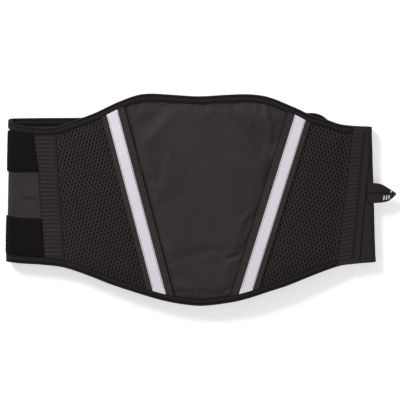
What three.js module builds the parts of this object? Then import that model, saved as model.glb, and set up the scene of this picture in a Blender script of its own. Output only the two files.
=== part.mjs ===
// A rider's kidney belt, closed at the front and laid flat on its wings with the back's outer
// face up. A padded back is sewn from a smooth centre panel, two mesh panels and two ribbed
// elastic panels. Slanted tapes with reflective strips cover its seams, and a folded binding
// runs along its edges. The left wing carries two loop strips on its outer face. It folds
// under, and the right wing laps under it and holds it with two hook patches.
//
// +X runs along the belt, +Y up the wearer's back and +Z up from the surface it lies on.
// The belt is drawn flat first: s is the distance along it from the back's centre line, y the
// height, and n the distance outwards from the middle of its thickness. place() then bends
// that pattern over the crowned back, round the two folds and back underneath.
// All lengths are in millimetres.

import * as THREE from 'three';

// The closed belt as it lies
const leftReach = 246.6; // from the back's centre line to the left fold
const rightReach = 211.6; // and to the right fold
const leftFoldLean = 2.8; // how far the fold wanders outwards from its top to its foot
const rightFoldLean = 4.9;
const foldTop = 15.5; // height of the upper layer at the folds
const crown = 9; // how much higher the back stands in its middle
const crownRamp = 150; // length over which it rises from each fold
const droop = 4; // how far its top and bottom edges hang below its middle

// Outline of the back
const sideHeight = 171; // height of the belt at its elastic panels
const topRise = 42.2; // how far the back's top edge stands above that
const bottomDrop = 51.6; // how far its bottom edge hangs below that

// Cloth
const gap = 0.3; // between pieces that touch
const edgeThickness = 2.4; // the back where it is sewn flat
const padOuter = 2.3; // how far the centre panel's padding swells outwards
const meshOuter = 1.7; // and the mesh panels'
const padInner = 2; // and both inwards
const padRamp = 15; // length over which the padding swells beside a seam
const seamFlat = 4; // sewn flat beside the elastic panels
const bindingWidth = 9.4;
const bindingThickness = 1.1;
const bindingTuck = 2.4; // how far inside a binding's rim the cloth in it ends
const tapeWidth = 28;
const tapeThickness = 1;
const stripWidth = 14.6;
const stripThickness = 0.6;
const ribPitch = 5; // of the elastic panels
const ribRelief = 0.9;
const hemWidth = 6; // turned ends of the right elastic panel

// Wings
const wingThickness = 2.4;
const leftWingRun = 408; // from the left fold to the wing's end, underneath
const rightWingRun = 255;
const wingCorner = 28; // radius of the wings' end corners
const loopHeight = 47.5;
const loopThickness = 2;
const loopMargin = 36; // bare end of the left wing, past the loop strips
const hookLength = 60;
const hookHeight = 44;
const hookThickness = 1.2;
const hookMargin = 8; // from the right wing's end to its hook patches
const lapRamp = 46; // length over which the left wing climbs onto the right one

// Ribbon tab, folded to a point
const tabLength = 36.3;
const tabWidth = 26.5;
const tabThickness = 1.6;
const tabHeight = 3.1; // its middle line above the belt's
const tabDroop = 4; // how far its point hangs

// Seams of the back, from left to right. along is where a seam crosses the belt's middle line,
// as a share of leftReach or of rightReach. lean is how far it moves to the right for each
// millimetre upwards.
const seams = {
  leftWing: { along: -0.837, lean: -0.07 },
  leftElastic: { along: -0.732, lean: -0.07 },
  leftTape: { along: -0.359, lean: -0.2625 },
  rightTape: { along: 0.417, lean: 0.3125 },
  rightElastic: { along: 0.825, lean: 0.115 },
  rightWing: { along: 0.9485, lean: 0.091 },
};

// Edges of the back. along is a share of leftReach or of rightReach, rise one of topRise or of
// bottomDrop.
const topRows = [
  { along: -0.955, rise: 0.1 },
  { along: -0.912, rise: 0.05 },
  { along: -0.81, rise: 0 },
  { along: -0.75, rise: 0.035 },
  { along: -0.684, rise: 0.165 },
  { along: -0.563, rise: 0.416 },
  { along: -0.44, rise: 0.752 },
  { along: -0.34, rise: 0.96 },
  { along: -0.269, rise: 1 },
  { along: -0.167, rise: 0.967 },
  { along: -0.03, rise: 0.922 },
  { along: 0.124, rise: 0.965 },
  { along: 0.242, rise: 0.984 },
  { along: 0.34, rise: 0.94 },
  { along: 0.41, rise: 0.842 },
  { along: 0.478, rise: 0.7 },
  { along: 0.561, rise: 0.522 },
  { along: 0.63, rise: 0.35 },
  { along: 0.713, rise: 0.242 },
  { along: 0.797, rise: 0.102 },
  { along: 0.868, rise: 0.058 },
  { along: 0.975, rise: 0.036 },
];
const bottomRows = [
  { along: -0.928, rise: -0.02 },
  { along: -0.836, rise: 0.005 },
  { along: -0.715, rise: 0.075 },
  { along: -0.593, rise: 0.264 },
  { along: -0.471, rise: 0.49 },
  { along: -0.289, rise: 0.77 },
  { along: -0.198, rise: 0.888 },
  { along: -0.106, rise: 0.968 },
  { along: -0.01, rise: 1 },
  { along: 0.159, rise: 0.915 },
  { along: 0.26, rise: 0.815 },
  { along: 0.372, rise: 0.665 },
  { along: 0.478, rise: 0.525 },
  { along: 0.585, rise: 0.352 },
  { along: 0.691, rise: 0.18 },
  { along: 0.797, rise: 0.036 },
  { along: 0.868, rise: -0.005 },
  { along: 0.975, rise: -0.044 },
];

// Edges of the wings past their folds. along is a share of the wing's run.
const leftWingRows = {
  top: [
    { along: 0, rise: 0.262 },
    { along: 0.03, rise: 0.286 },
    { along: 0.25, rise: 0.305 },
    { along: 1, rise: 0.455 },
  ],
  bottom: [
    { along: 0.03, rise: -0.08 },
    { along: 1, rise: -0.2 },
  ],
};
const rightWingRows = {
  top: [
    { along: 0.1, rise: 0.03 },
    { along: 0.35, rise: 0.1 },
    { along: 1, rise: 0.15 },
  ],
  bottom: [
    { along: 0.05, rise: -0.06 },
    { along: 1, rise: -0.06 },
  ],
};

// Plan of the folded ribbon. along is a share of tabLength, up and down are shares of half its
// width.
const tabRows = [
  { along: 0, up: 1, down: 0.9 },
  { along: 0.3, up: 0.98, down: 0.88 },
  { along: 0.48, up: 0.86, down: 0.76 },
  { along: 0.62, up: 0.66, down: 0.7 },
  { along: 0.74, up: 0.44, down: 0.62 },
  { along: 0.88, up: 0.2, down: 0.36 },
  { along: 1, up: 0.04, down: 0.12 },
];

// How finely the cloth is drawn: the longest step round a fold, along a binding and over padding
const foldStep = 2.5;
const binderStep = 10;
const padStep = 15;
const cornerSteps = 5; // in a quarter turn
const leftElasticLines = [0, 0.5, 1]; // shares of the panel's width
const rightElasticLines = [0, 0.45, 0.7, 0.82, 0.91, 1]; // closer where it enters the fold

const nylon = cloth(0x393536, 0.62);
const mesh = cloth(0x252222, 0.85);
const elastic = cloth(0x2c2726, 0.9);
const ribbon = cloth(0x242121, 0.8);
const webbing = cloth(0x302c2b, 0.85);
const reflective = new THREE.MeshStandardMaterial({ color: 0xd8d4db, roughness: 0.35, metalness: 0.2 });
const pile = cloth(0x151314, 1);
const velour = cloth(0x272425, 0.95);
const hooks = cloth(0x1a1919, 0.7);

const belt = new THREE.Group();

// The folds. The left wing lies on its loop strips, the right wing on the floor.
const leftLow = loopThickness + gap + wingThickness / 2;
const rightLow = wingThickness / 2;
const leftRadius = (foldTop - leftLow) / 2;
const rightRadius = (foldTop - rightLow) / 2;
const lapLift = wingThickness + hookThickness + 2 * gap;
const rightWingEnd = rightReach - rightWingRun;
const leftWingEnd = leftWingRun - leftReach;
const lapStart = rightWingEnd - hookMargin / 2; // where the left wing is up on the right one
const loopOffset = sideHeight / 2 - bindingWidth - loopHeight / 2; // from the middle line
const besideBinding = bindingWidth + gap;
const tapeFlat = tapeWidth / 2 + gap;

const topCurve = smoothCurve(edgePoints(topRows, leftWingRows.top, rightWingRows.top, topRise, 1));
const bottomCurve = smoothCurve(
  edgePoints(bottomRows, leftWingRows.bottom, rightWingRows.bottom, bottomDrop, -1),
);

function cloth(color, roughness) {
  return new THREE.MeshStandardMaterial({ color, roughness, metalness: 0 });
}

/** Rises smoothly from 0 to 1 as t does. */
function smooth(t) {
  const inside = Math.min(1, Math.max(0, t));
  return inside * inside * (3 - 2 * inside);
}

function mix(a, b, t) {
  return a + (b - a) * t;
}

/** Distance from the centre line for a share of the reach on that side. */
function fromCentre(along) {
  return along * (along < 0 ? leftReach : rightReach);
}

/** Where the left fold begins to turn, at height y. */
function leftTurn(y) {
  return -leftReach + wingThickness / 2 + leftRadius + leftFoldLean * (y / sideHeight);
}

function rightTurn(y) {
  return rightReach - wingThickness / 2 - rightRadius - rightFoldLean * (y / sideHeight);
}

/** Height of the back's middle surface. */
function backHeight(x, y) {
  const reach = sideHeight / 2 + (topRise + bottomDrop) / 2;
  const raised = smooth((x - leftTurn(y)) / crownRamp) * smooth((rightTurn(y) - x) / crownRamp);
  return foldTop + raised * (crown - droop * (y / reach) ** 2);
}

/** Height of the left wing's middle surface underneath. */
function leftWingHeight(x) {
  return leftLow + lapLift * smooth((x - lapStart + lapRamp) / lapRamp);
}

/** The point in space of a point of the flat pattern. */
function place(s, y, n) {
  const leftArc = leftTurn(y) - s;
  const rightArc = s - rightTurn(y);
  if (leftArc > 0) return bend(leftTurn(y), -1, leftArc, leftRadius, y, n, leftWingHeight);
  if (rightArc > 0) return bend(rightTurn(y), 1, rightArc, rightRadius, y, n, () => rightLow);
  return [s, y, backHeight(s, y) + n];
}

/** A point past a fold: round the half turn, then straight back underneath. */
function bend(turn, side, arc, radius, y, n, lowHeight) {
  const angle = arc / radius;
  const axis = foldTop - radius;
  if (angle < Math.PI) {
    const reach = radius + n;
    return [turn + side * reach * Math.sin(angle), y, axis + reach * Math.cos(angle)];
  }
  const x = turn - side * (arc - Math.PI * radius);
  return [x, y, lowHeight(x) - n];
}

/** Position along the belt of the point of a wing that lies at x underneath, and back. */
function leftUnder(x, y) {
  return 2 * leftTurn(y) - Math.PI * leftRadius - x;
}

function rightUnder(x, y) {
  return 2 * rightTurn(y) + Math.PI * rightRadius - x;
}

/** Points of one edge of the whole belt, from the left wing's end to the right wing's. */
function edgePoints(backRows, leftRows, rightRows, rise, side) {
  const height = (row) => side * (sideHeight / 2 + rise * row.rise);
  const leftFold = leftTurn(0) - (Math.PI / 2) * leftRadius;
  const rightFold = rightTurn(0) + (Math.PI / 2) * rightRadius;
  const left = leftRows.map((row) => [leftFold - row.along * leftWingRun, height(row)]).reverse();
  const back = backRows.map((row) => [fromCentre(row.along), height(row)]);
  const right = rightRows.map((row) => [rightFold + row.along * rightWingRun, height(row)]);
  return [...left, ...back, ...right];
}

/** A curve through points that gives its height and slope at any place along it. */
function smoothCurve(points) {
  const slopes = points.map((point, i) => {
    const before = points[Math.max(0, i - 1)];
    const after = points[Math.min(points.length - 1, i + 1)];
    return (after[1] - before[1]) / (after[0] - before[0]);
  });
  return (s) => {
    const next = points.findIndex((point) => point[0] > s);
    if (next <= 0) {
      const end = next === 0 ? 0 : points.length - 1;
      return { y: points[end][1] + slopes[end] * (s - points[end][0]), slope: slopes[end] };
    }
    const [s0, y0] = points[next - 1];
    const [s1, y1] = points[next];
    const span = s1 - s0;
    const t = (s - s0) / span;
    const m0 = slopes[next - 1] * span;
    const m1 = slopes[next] * span;
    const y = (2 * t ** 3 - 3 * t ** 2 + 1) * y0 + (t ** 3 - 2 * t ** 2 + t) * m0
      + (3 * t ** 2 - 2 * t ** 3) * y1 + (t ** 3 - t ** 2) * m1;
    const slope = ((6 * t ** 2 - 6 * t) * y0 + (3 * t ** 2 - 4 * t + 1) * m0
      + (6 * t - 6 * t ** 2) * y1 + (3 * t ** 2 - 2 * t) * m1) / span;
    return { y, slope };
  };
}

/** Height of the top or bottom edge, moved inwards by a width measured square to the edge. */
function topAt(s, inset = 0) {
  const { y, slope } = topCurve(s);
  return y - inset * Math.hypot(1, slope);
}

function bottomAt(s, inset = 0) {
  const { y, slope } = bottomCurve(s);
  return y + inset * Math.hypot(1, slope);
}

function middleAt(s) {
  return (topAt(s) + bottomAt(s)) / 2;
}

/** The line of a seam, moved sideways by a distance measured square to it. */
function seamLine(seam, aside = 0) {
  return (y) => fromCentre(seam.along) + seam.lean * y + aside * Math.hypot(1, seam.lean);
}

/** Grid lines from a to b: at the distances in near from each end, and even between them. */
function ladder(a, b, near, between) {
  const fit = Math.min(1, (b - a) / (2.2 * near.at(-1)));
  const first = near.map((distance) => a + fit * distance);
  const last = near.map((distance) => b - fit * distance).reverse();
  const inner = even(first.at(-1), last[0], between + 1).slice(1, -1);
  return [...first, ...inner, ...last];
}

/** Evenly spaced values from a to b, both included. */
function even(a, b, steps) {
  return Array.from({ length: steps + 1 }, (_, i) => mix(a, b, i / steps));
}

/** The pattern point where grid line i of columns(y) meets grid line j of rows(s). */
function crossing(columns, rows, i, j) {
  let y = 0;
  let s = 0;
  for (let round = 0; round < 6; round++) {
    s = columns(y)[i];
    y = rows(s)[j];
  }
  return { s, y };
}

/** A piece of cloth between two faces, over the grid of columns(y) and rows(s). */
function sheet(columns, rows, faces) {
  const across = columns(0).length;
  const up = rows(columns(0)[0]).length;
  const points = [[], []];
  for (let i = 0; i < across; i++) {
    for (let j = 0; j < up; j++) {
      const { s, y } = crossing(columns, rows, i, j);
      const [inner, outer] = faces(s, y, i, j);
      points[0].push(place(s, y, inner));
      points[1].push(place(s, y, outer));
    }
  }
  const at = (side, i, j) => side * across * up + i * up + j;
  const triangles = [];
  const quad = (a, b, c, d) => triangles.push(a, b, c, a, c, d);
  for (let i = 0; i + 1 < across; i++) {
    for (let j = 0; j + 1 < up; j++) {
      quad(at(1, i, j), at(1, i + 1, j), at(1, i + 1, j + 1), at(1, i, j + 1));
      quad(at(0, i, j), at(0, i, j + 1), at(0, i + 1, j + 1), at(0, i + 1, j));
    }
  }
  for (let i = 0; i + 1 < across; i++) {
    quad(at(0, i, 0), at(0, i + 1, 0), at(1, i + 1, 0), at(1, i, 0));
    quad(at(0, i + 1, up - 1), at(0, i, up - 1), at(1, i, up - 1), at(1, i + 1, up - 1));
  }
  for (let j = 0; j + 1 < up; j++) {
    quad(at(0, 0, j + 1), at(0, 0, j), at(1, 0, j), at(1, 0, j + 1));
    quad(at(0, across - 1, j), at(0, across - 1, j + 1), at(1, across - 1, j + 1), at(1, across - 1, j));
  }
  return closedBody([...points[0], ...points[1]], triangles);
}

/** A closed body from points and triangles, turned so that its faces point out. */
function closedBody(points, triangles) {
  let volume = 0;
  const corner = points.map((point) => new THREE.Vector3(...point));
  for (let i = 0; i < triangles.length; i += 3) {
    const [a, b, c] = triangles.slice(i, i + 3).map((k) => corner[k]);
    volume += a.dot(new THREE.Vector3().crossVectors(b, c)) / 6;
  }
  const geometry = new THREE.BufferGeometry();
  geometry.setAttribute('position', new THREE.Float32BufferAttribute(points.flat(), 3));
  geometry.setIndex(volume < 0 ? [...triangles].reverse() : triangles);
  geometry.computeVertexNormals();
  return geometry;
}

function add(name, geometry, material) {
  const piece = new THREE.Mesh(geometry, material);
  piece.name = name;
  belt.add(piece);
}

/** How full the padding is at a distance from the nearest seams, from 0 to 1. */
function fullness(distances) {
  return distances.reduce((full, distance) => full * smooth(distance / padRamp), 1);
}

/** A padded panel between two seams, flat under the tapes and bindings. */
function paddedPanel(left, right, leftFlat, rightFlat, outerSwell) {
  const steps = Math.round((right(0) - left(0)) / padStep);
  const near = (flat) => [0, flat, flat + padRamp / 2, flat + padRamp];
  const columns = (y) => {
    const a = left(y);
    const b = right(y);
    const fit = Math.min(1, (b - a) / (1.1 * (leftFlat + rightFlat + 2 * padRamp)));
    const first = near(leftFlat).map((distance) => a + fit * distance);
    const last = near(rightFlat).map((distance) => b - fit * distance).reverse();
    return [...first, ...even(first.at(-1), last[0], steps).slice(1, -1), ...last];
  };
  const rows = (s) =>
    ladder(bottomAt(s, bindingTuck), topAt(s, bindingTuck), near(besideBinding - bindingTuck), 7);
  const faces = (s, y) => {
    const full = fullness([
      s - left(y) - leftFlat,
      right(y) - s - rightFlat,
      topAt(s, besideBinding) - y,
      y - bottomAt(s, besideBinding),
    ]);
    return [-edgeThickness / 2 - padInner * full, edgeThickness / 2 + outerSwell * full];
  };
  return sheet(columns, rows, faces);
}

/** A flat band that covers a seam, from binding to binding, at a height above the cloth. */
function band(seam, width, base, thickness) {
  const columns = (y) => even(seamLine(seam, -width / 2)(y), seamLine(seam, width / 2)(y), 3);
  const rows = (s) => even(bottomAt(s, besideBinding), topAt(s, besideBinding), 16);
  return sheet(columns, rows, () => [base, base + thickness]);
}

/**
 * A ribbed elastic panel. shares place its grid lines between its seams. Its two ends lie
 * flat, from tuck to flat inside the belt's edges.
 */
function elasticPanel(left, right, shares, tuck, flat) {
  const ribs = Math.round(sideHeight / ribPitch) - 2;
  const columns = (y) => shares.map((share) => mix(left(y), right(y), share));
  const rows = (s) => {
    const low = bottomAt(s, flat);
    const high = topAt(s, flat);
    return [bottomAt(s, tuck), ...even(low, high, 2 * ribs), topAt(s, tuck)];
  };
  const last = 2 * ribs + 2;
  const faces = (s, y, i, j) => {
    const crest = j > 0 && j < last && j % 2 === 0;
    return [-edgeThickness / 2, edgeThickness / 2 + (crest ? ribRelief : 0)];
  };
  return sheet(columns, rows, faces);
}

/** How far a rounded corner has cut an edge back, at a distance from the end. */
function cornerCut(distance, radius) {
  const inside = Math.min(radius, Math.max(0, distance));
  return radius - Math.sqrt(radius ** 2 - (radius - inside) ** 2);
}

/** Distances from a wing's end at which its rounded corners are drawn. */
function cornerStops(radius) {
  return [0.7, 0.45, 0.25, 0.1, 0.02].map((share) => share * radius);
}

/** Grid lines of the left wing from its seam, round the fold, to a place x underneath. */
function leftWingColumns(endX, start) {
  const foldSteps = Math.ceil((Math.PI * leftRadius) / foldStep) + 1;
  return (y) => {
    const turn = leftTurn(y);
    const upper = even(start(y), turn + foldStep / 2, 3);
    const fold = even(turn, turn - Math.PI * leftRadius - foldStep, foldSteps);
    const flat = even(leftUnder(turn + 2 * foldStep, y), leftUnder(lapStart - lapRamp, y), 3);
    const ramp = even(leftUnder(lapStart - lapRamp, y), leftUnder(lapStart, y), 8).slice(1);
    const lap = even(leftUnder(lapStart, y), leftUnder(endX, y), 4).slice(1);
    return [...upper, ...fold, ...flat, ...ramp, ...lap];
  };
}

function leftWing() {
  const lastX = leftWingEnd - bindingTuck;
  const radius = wingCorner - bindingTuck;
  const straight = leftWingColumns(lastX - radius, seamLine(seams.leftWing, -gap / 2));
  const columns = (y) => {
    const corner = cornerStops(radius).map((distance) => leftUnder(lastX - distance, y));
    return [...straight(y), ...corner];
  };
  const rows = (s) => {
    const low = bottomAt(s, bindingTuck);
    const high = topAt(s, bindingTuck);
    const cut = (y) => cornerCut(lastX - leftUnder(s, y), radius);
    return even(low + cut(low), high - cut(high), 4);
  };
  const half = wingThickness / 2;
  return sheet(columns, rows, () => [-half, half]);
}

function rightWing() {
  const foldLength = Math.PI * rightRadius + 5 * foldStep;
  const foldSteps = Math.ceil(foldLength / foldStep);
  const columns = (y) => {
    const start = seamLine(seams.rightWing, gap / 2)(y);
    const fold = even(start, start + foldLength, foldSteps);
    const end = rightUnder(rightWingEnd + wingCorner, y);
    const under = even(fold.at(-1), end, 4).slice(1);
    const corner = cornerStops(wingCorner).map((distance) => rightUnder(rightWingEnd + distance, y));
    return [...fold, ...under, ...corner];
  };
  const rows = (s) => {
    const low = bottomAt(s);
    const high = topAt(s);
    const cut = (y) => cornerCut(rightUnder(s, y) - rightWingEnd, wingCorner);
    return even(low + cut(low), high - cut(high), 8);
  };
  const half = wingThickness / 2;
  return sheet(columns, rows, () => [-half, half]);
}

/** A strip of loop pile on the left wing's outer face. side is 1 for the upper, -1 the lower. */
function loopStrip(side) {
  const columns = leftWingColumns(leftWingEnd - loopMargin, seamLine(seams.leftWing, -gap / 2));
  const rows = (s) => {
    const middle = middleAt(s) + side * loopOffset;
    const low = Math.max(middle - loopHeight / 2, bottomAt(s, besideBinding));
    const high = Math.min(middle + loopHeight / 2, topAt(s, besideBinding));
    return even(low, high, 2);
  };
  const base = wingThickness / 2 + gap;
  return sheet(columns, rows, () => [base, base + loopThickness]);
}

/** A hook patch on the right wing's inner face, under a loop strip. */
function hookPatch(side) {
  const from = rightWingEnd + hookMargin;
  const columns = (y) => even(rightUnder(from + hookLength, y), rightUnder(from, y), 2);
  const middle = middleAt(leftUnder(from + hookLength / 2, 0)) + side * loopOffset;
  const rows = () => even(middle - hookHeight / 2, middle + hookHeight / 2, 2);
  const base = -wingThickness / 2 - gap;
  return sheet(columns, rows, () => [base - hookThickness, base]);
}

/** A tape folded round an edge. Each stop of its path gives a rim point and the way inwards. */
function binding(path, clothThickness) {
  const bed = clothThickness / 2 + gap;
  const skin = bed + bindingThickness;
  const channel = bindingThickness + gap / 2;
  const half = [
    [channel, bed],
    [bindingWidth, bed],
    [bindingWidth, skin],
    [0.2 * bindingWidth, skin],
    [0, 0.5 * skin],
  ];
  const profile = [...half, ...half.map(([inwards, out]) => [inwards, -out]).reverse()];
  const sections = path.map(({ s, y, inS, inY }) =>
    profile.map(([inwards, out]) => place(s + inwards * inS, y + inwards * inY, out)),
  );
  return sweep(sections, profile);
}

/** A stop of a binding's path on the belt's top or bottom edge. */
function edgeStop(edge, s) {
  return { s, y: edge(s), inS: 0, inY: edge(s, 1) - edge(s) };
}

/** A closed body through sections that all have the profile's points. */
function sweep(sections, profile) {
  const size = profile.length;
  const triangles = [];
  for (let i = 0; i + 1 < sections.length; i++) {
    for (let k = 0; k < size; k++) {
      const next = (k + 1) % size;
      const a = i * size + k;
      const b = i * size + next;
      triangles.push(a, b, b + size, a, b + size, a + size);
    }
  }
  const flat = profile.map(([x, y]) => new THREE.Vector2(x, y));
  const caps = THREE.ShapeUtils.triangulateShape(flat, []);
  const clockwise = THREE.ShapeUtils.isClockWise(flat);
  const end = (sections.length - 1) * size;
  for (const [a, b, c] of caps) {
    if (clockwise) {
      triangles.push(a, b, c, end + a, end + c, end + b);
    } else {
      triangles.push(a, c, b, end + a, end + b, end + c);
    }
  }
  return closedBody(sections.flat(), triangles);
}

/** The back's top or bottom binding, from the left wing's seam to the right elastic panel. */
function backBinding(edge) {
  const meet = (seam, aside, inset) =>
    crossing((y) => [seamLine(seam, aside)(y)], (s) => [edge(s, inset)], 0, 0).s;
  const from = meet(seams.leftWing, gap / 2, 0);
  const to = Math.min(...[0, bindingWidth].map((inset) => meet(seams.rightElastic, -gap / 2, inset)));
  const steps = Math.ceil((to - from) / binderStep);
  return binding(even(from, to, steps).map((s) => edgeStop(edge, s)), edgeThickness);
}

/** The left wing's binding on one long edge, round its corner to the middle of its end. */
function wingBinding(edge, side) {
  const cornerX = leftWingEnd - wingCorner;
  const columns = leftWingColumns(cornerX, seamLine(seams.leftWing, -gap / 2));
  const path = columns(0).map((_, i) => edgeStop(edge, crossing(columns, (s) => [edge(s)], i, 0).s));
  const centreY = path.at(-1).y - side * wingCorner;
  for (const angle of even(0, Math.PI / 2, cornerSteps).slice(1)) {
    const inS = Math.sin(angle);
    const inY = -side * Math.cos(angle);
    const y = centreY - wingCorner * inY;
    path.push({ s: leftUnder(cornerX + wingCorner * inS, y), y, inS, inY });
  }
  const middle = middleAt(leftUnder(leftWingEnd, 0)) + (side * gap) / 2;
  for (const y of even(path.at(-1).y, middle, 4).slice(1)) {
    path.push({ s: leftUnder(leftWingEnd, y), y, inS: 1, inY: 0 });
  }
  return binding(path, wingThickness);
}

/** A ribbon folded to a point, lying on the right fold, with a groove between its two runs. */
function pullTab() {
  const root = seamLine(seams.rightWing, 0.5 * gap)(tabHeight + tabWidth / 2) + gap;
  const base = foldTop + wingThickness / 2 + gap;
  const across = [-1, -0.55, -0.06, 0, 0.06, 0.55, 1];
  const sections = tabRows.map((row) => {
    const x = root + row.along * tabLength;
    const low = base - tabDroop * row.along ** 2;
    const line = across.map((share) => {
      const width = (share > 0 ? row.up : row.down) * (tabWidth / 2);
      const groove = share === 0 && row.along < 1 ? 0.5 * tabThickness * (1 - row.along) : 0;
      return { y: tabHeight + share * width, top: low + tabThickness - groove };
    });
    const upper = line.map(({ y, top }) => [x, y, top]);
    const lower = line.map(({ y }) => [x, y, low]).reverse();
    return [...upper, ...lower];
  });
  const profile = [
    ...across.map((share) => [share, 1]),
    ...across.map((share) => [share, 0]).reverse(),
  ];
  return sweep(sections, profile);
}

/** The seam's line on the side of the piece that lies to its right, and to its left. */
const rightOf = (seam) => seamLine(seam, gap / 2);
const leftOf = (seam) => seamLine(seam, -gap / 2);

add(
  'centre_panel',
  paddedPanel(rightOf(seams.leftTape), leftOf(seams.rightTape), tapeFlat, tapeFlat, padOuter),
  nylon,
);
add(
  'mesh_panel_left',
  paddedPanel(rightOf(seams.leftElastic), leftOf(seams.leftTape), seamFlat, tapeFlat, meshOuter),
  mesh,
);
add(
  'mesh_panel_right',
  paddedPanel(rightOf(seams.rightTape), leftOf(seams.rightElastic), tapeFlat, seamFlat, meshOuter),
  mesh,
);
add(
  'elastic_panel_left',
  elasticPanel(
    rightOf(seams.leftWing),
    leftOf(seams.leftElastic),
    leftElasticLines,
    bindingTuck,
    besideBinding,
  ),
  elastic,
);
add(
  'elastic_panel_right',
  elasticPanel(
    rightOf(seams.rightElastic),
    leftOf(seams.rightWing),
    rightElasticLines,
    0,
    hemWidth,
  ),
  elastic,
);
for (const [side, seam] of [['left', seams.leftTape], ['right', seams.rightTape]]) {
  const tapeBase = edgeThickness / 2 + gap;
  const stripBase = tapeBase + tapeThickness + gap;
  add(`seam_tape_${side}`, band(seam, tapeWidth, tapeBase, tapeThickness), webbing);
  add(`reflective_strip_${side}`, band(seam, stripWidth, stripBase, stripThickness), reflective);
}
add('top_binding', backBinding(topAt), ribbon);
add('bottom_binding', backBinding(bottomAt), ribbon);
add('left_wing', leftWing(), nylon);
add('right_wing', rightWing(), velour);
add('wing_binding_upper', wingBinding(topAt, 1), ribbon);
add('wing_binding_lower', wingBinding(bottomAt, -1), ribbon);
add('loop_strip_upper', loopStrip(1), pile);
add('loop_strip_lower', loopStrip(-1), pile);
add('hook_patch_upper', hookPatch(1), hooks);
add('hook_patch_lower', hookPatch(-1), hooks);
add('pull_tab', pullTab(), ribbon);

// The origin is the middle of the belt's footprint, on the surface that it lies on.
const box = new THREE.Box3().setFromObject(belt, true);
belt.position.set(-(box.min.x + box.max.x) / 2, -(box.min.y + box.max.y) / 2, -box.min.z);
belt.updateMatrixWorld(true);

export default belt;
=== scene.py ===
import logging
import math
from collections.abc import Callable, Sequence
from dataclasses import dataclass, field
from enum import Enum

import bpy
import numpy as np
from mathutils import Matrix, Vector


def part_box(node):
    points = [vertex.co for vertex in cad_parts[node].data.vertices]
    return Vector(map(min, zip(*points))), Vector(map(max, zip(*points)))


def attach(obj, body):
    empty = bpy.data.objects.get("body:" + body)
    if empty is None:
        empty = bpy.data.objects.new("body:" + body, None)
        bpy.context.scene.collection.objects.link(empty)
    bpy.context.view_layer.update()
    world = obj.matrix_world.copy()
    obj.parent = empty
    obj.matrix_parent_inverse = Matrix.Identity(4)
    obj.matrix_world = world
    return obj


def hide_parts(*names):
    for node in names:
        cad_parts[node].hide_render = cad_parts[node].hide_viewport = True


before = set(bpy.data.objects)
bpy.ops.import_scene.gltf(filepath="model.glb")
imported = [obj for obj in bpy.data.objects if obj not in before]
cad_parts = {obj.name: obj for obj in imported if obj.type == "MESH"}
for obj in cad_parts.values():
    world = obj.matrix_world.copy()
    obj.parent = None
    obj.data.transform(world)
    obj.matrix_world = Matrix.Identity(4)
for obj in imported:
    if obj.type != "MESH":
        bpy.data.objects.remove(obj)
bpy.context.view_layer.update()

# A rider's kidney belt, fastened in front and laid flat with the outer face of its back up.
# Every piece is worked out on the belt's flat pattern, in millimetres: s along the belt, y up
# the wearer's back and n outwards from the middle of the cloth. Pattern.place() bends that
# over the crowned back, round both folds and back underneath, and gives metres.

Array = np.ndarray
Line = Callable[[Array], Array]
MM = 0.001
UV_NAME = "pattern"
UV_SCALE = 0.01  # a UV unit is 100 mm of cloth
LOG = logging.getLogger("kidney_belt")


class Side(Enum):
    """A side of the belt, as seen from above."""

    LEFT = -1
    RIGHT = 1


class Rim(Enum):
    """A long edge of the belt, with the way from its middle line to that edge."""

    TOP = 1
    BOTTOM = -1


# Arithmetic on whole arrays


def smooth(t: Array | float) -> Array:
    """Rises smoothly from 0 to 1 as t does: three t squared less two t cubed, held at its ends."""
    inside = np.clip(t, 0.0, 1.0)
    return inside * inside * (3 - 2 * inside)


def bell(distance: Array, width: float) -> Array:
    """A bell-shaped ridge: e to the power of minus (distance / width) squared."""
    return np.exp(-((distance / width) ** 2))


def noise(x: Array, y: Array, cell: float, seed: int) -> Array:
    """Smooth random height from -1 to 1.

    The values of a seeded 64 by 64 lattice whose points are a cell apart, blended with
    smooth() between the four that are nearest.

    Args:
        x: First coordinate of each point.
        y: Second coordinate of each point.
        cell: Distance between lattice points.
        seed: Seed of the lattice.

    Returns:
        The height at each point.
    """
    lattice = np.random.default_rng(seed).uniform(-1, 1, (64, 64))
    across, up = np.floor(x / cell), np.floor(y / cell)
    fx, fy = smooth(x / cell - across), smooth(y / cell - up)
    i, j = across.astype(int) % 64, up.astype(int) % 64
    k, m = (i + 1) % 64, (j + 1) % 64
    low = lattice[i, j] * (1 - fx) + lattice[k, j] * fx
    high = lattice[i, m] * (1 - fx) + lattice[k, m] * fx
    return low * (1 - fy) + high * fy


def waves(x: Array, y: Array, *layers: tuple[float, float, int]) -> Array:
    """Sum of noises, each given by its height, the size of its cells and its seed."""
    return sum(height * noise(x, y, cell, seed) for height, cell, seed in layers)


def rounding(distance: Array, radius: float) -> Array:
    """A quarter circle: rises from 0 at an edge to 1 at that radius from it, and stays there."""
    return np.sqrt(1 - (1 - np.clip(distance / radius, 0, 1)) ** 2)


# The flat pattern and how it lies


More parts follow.
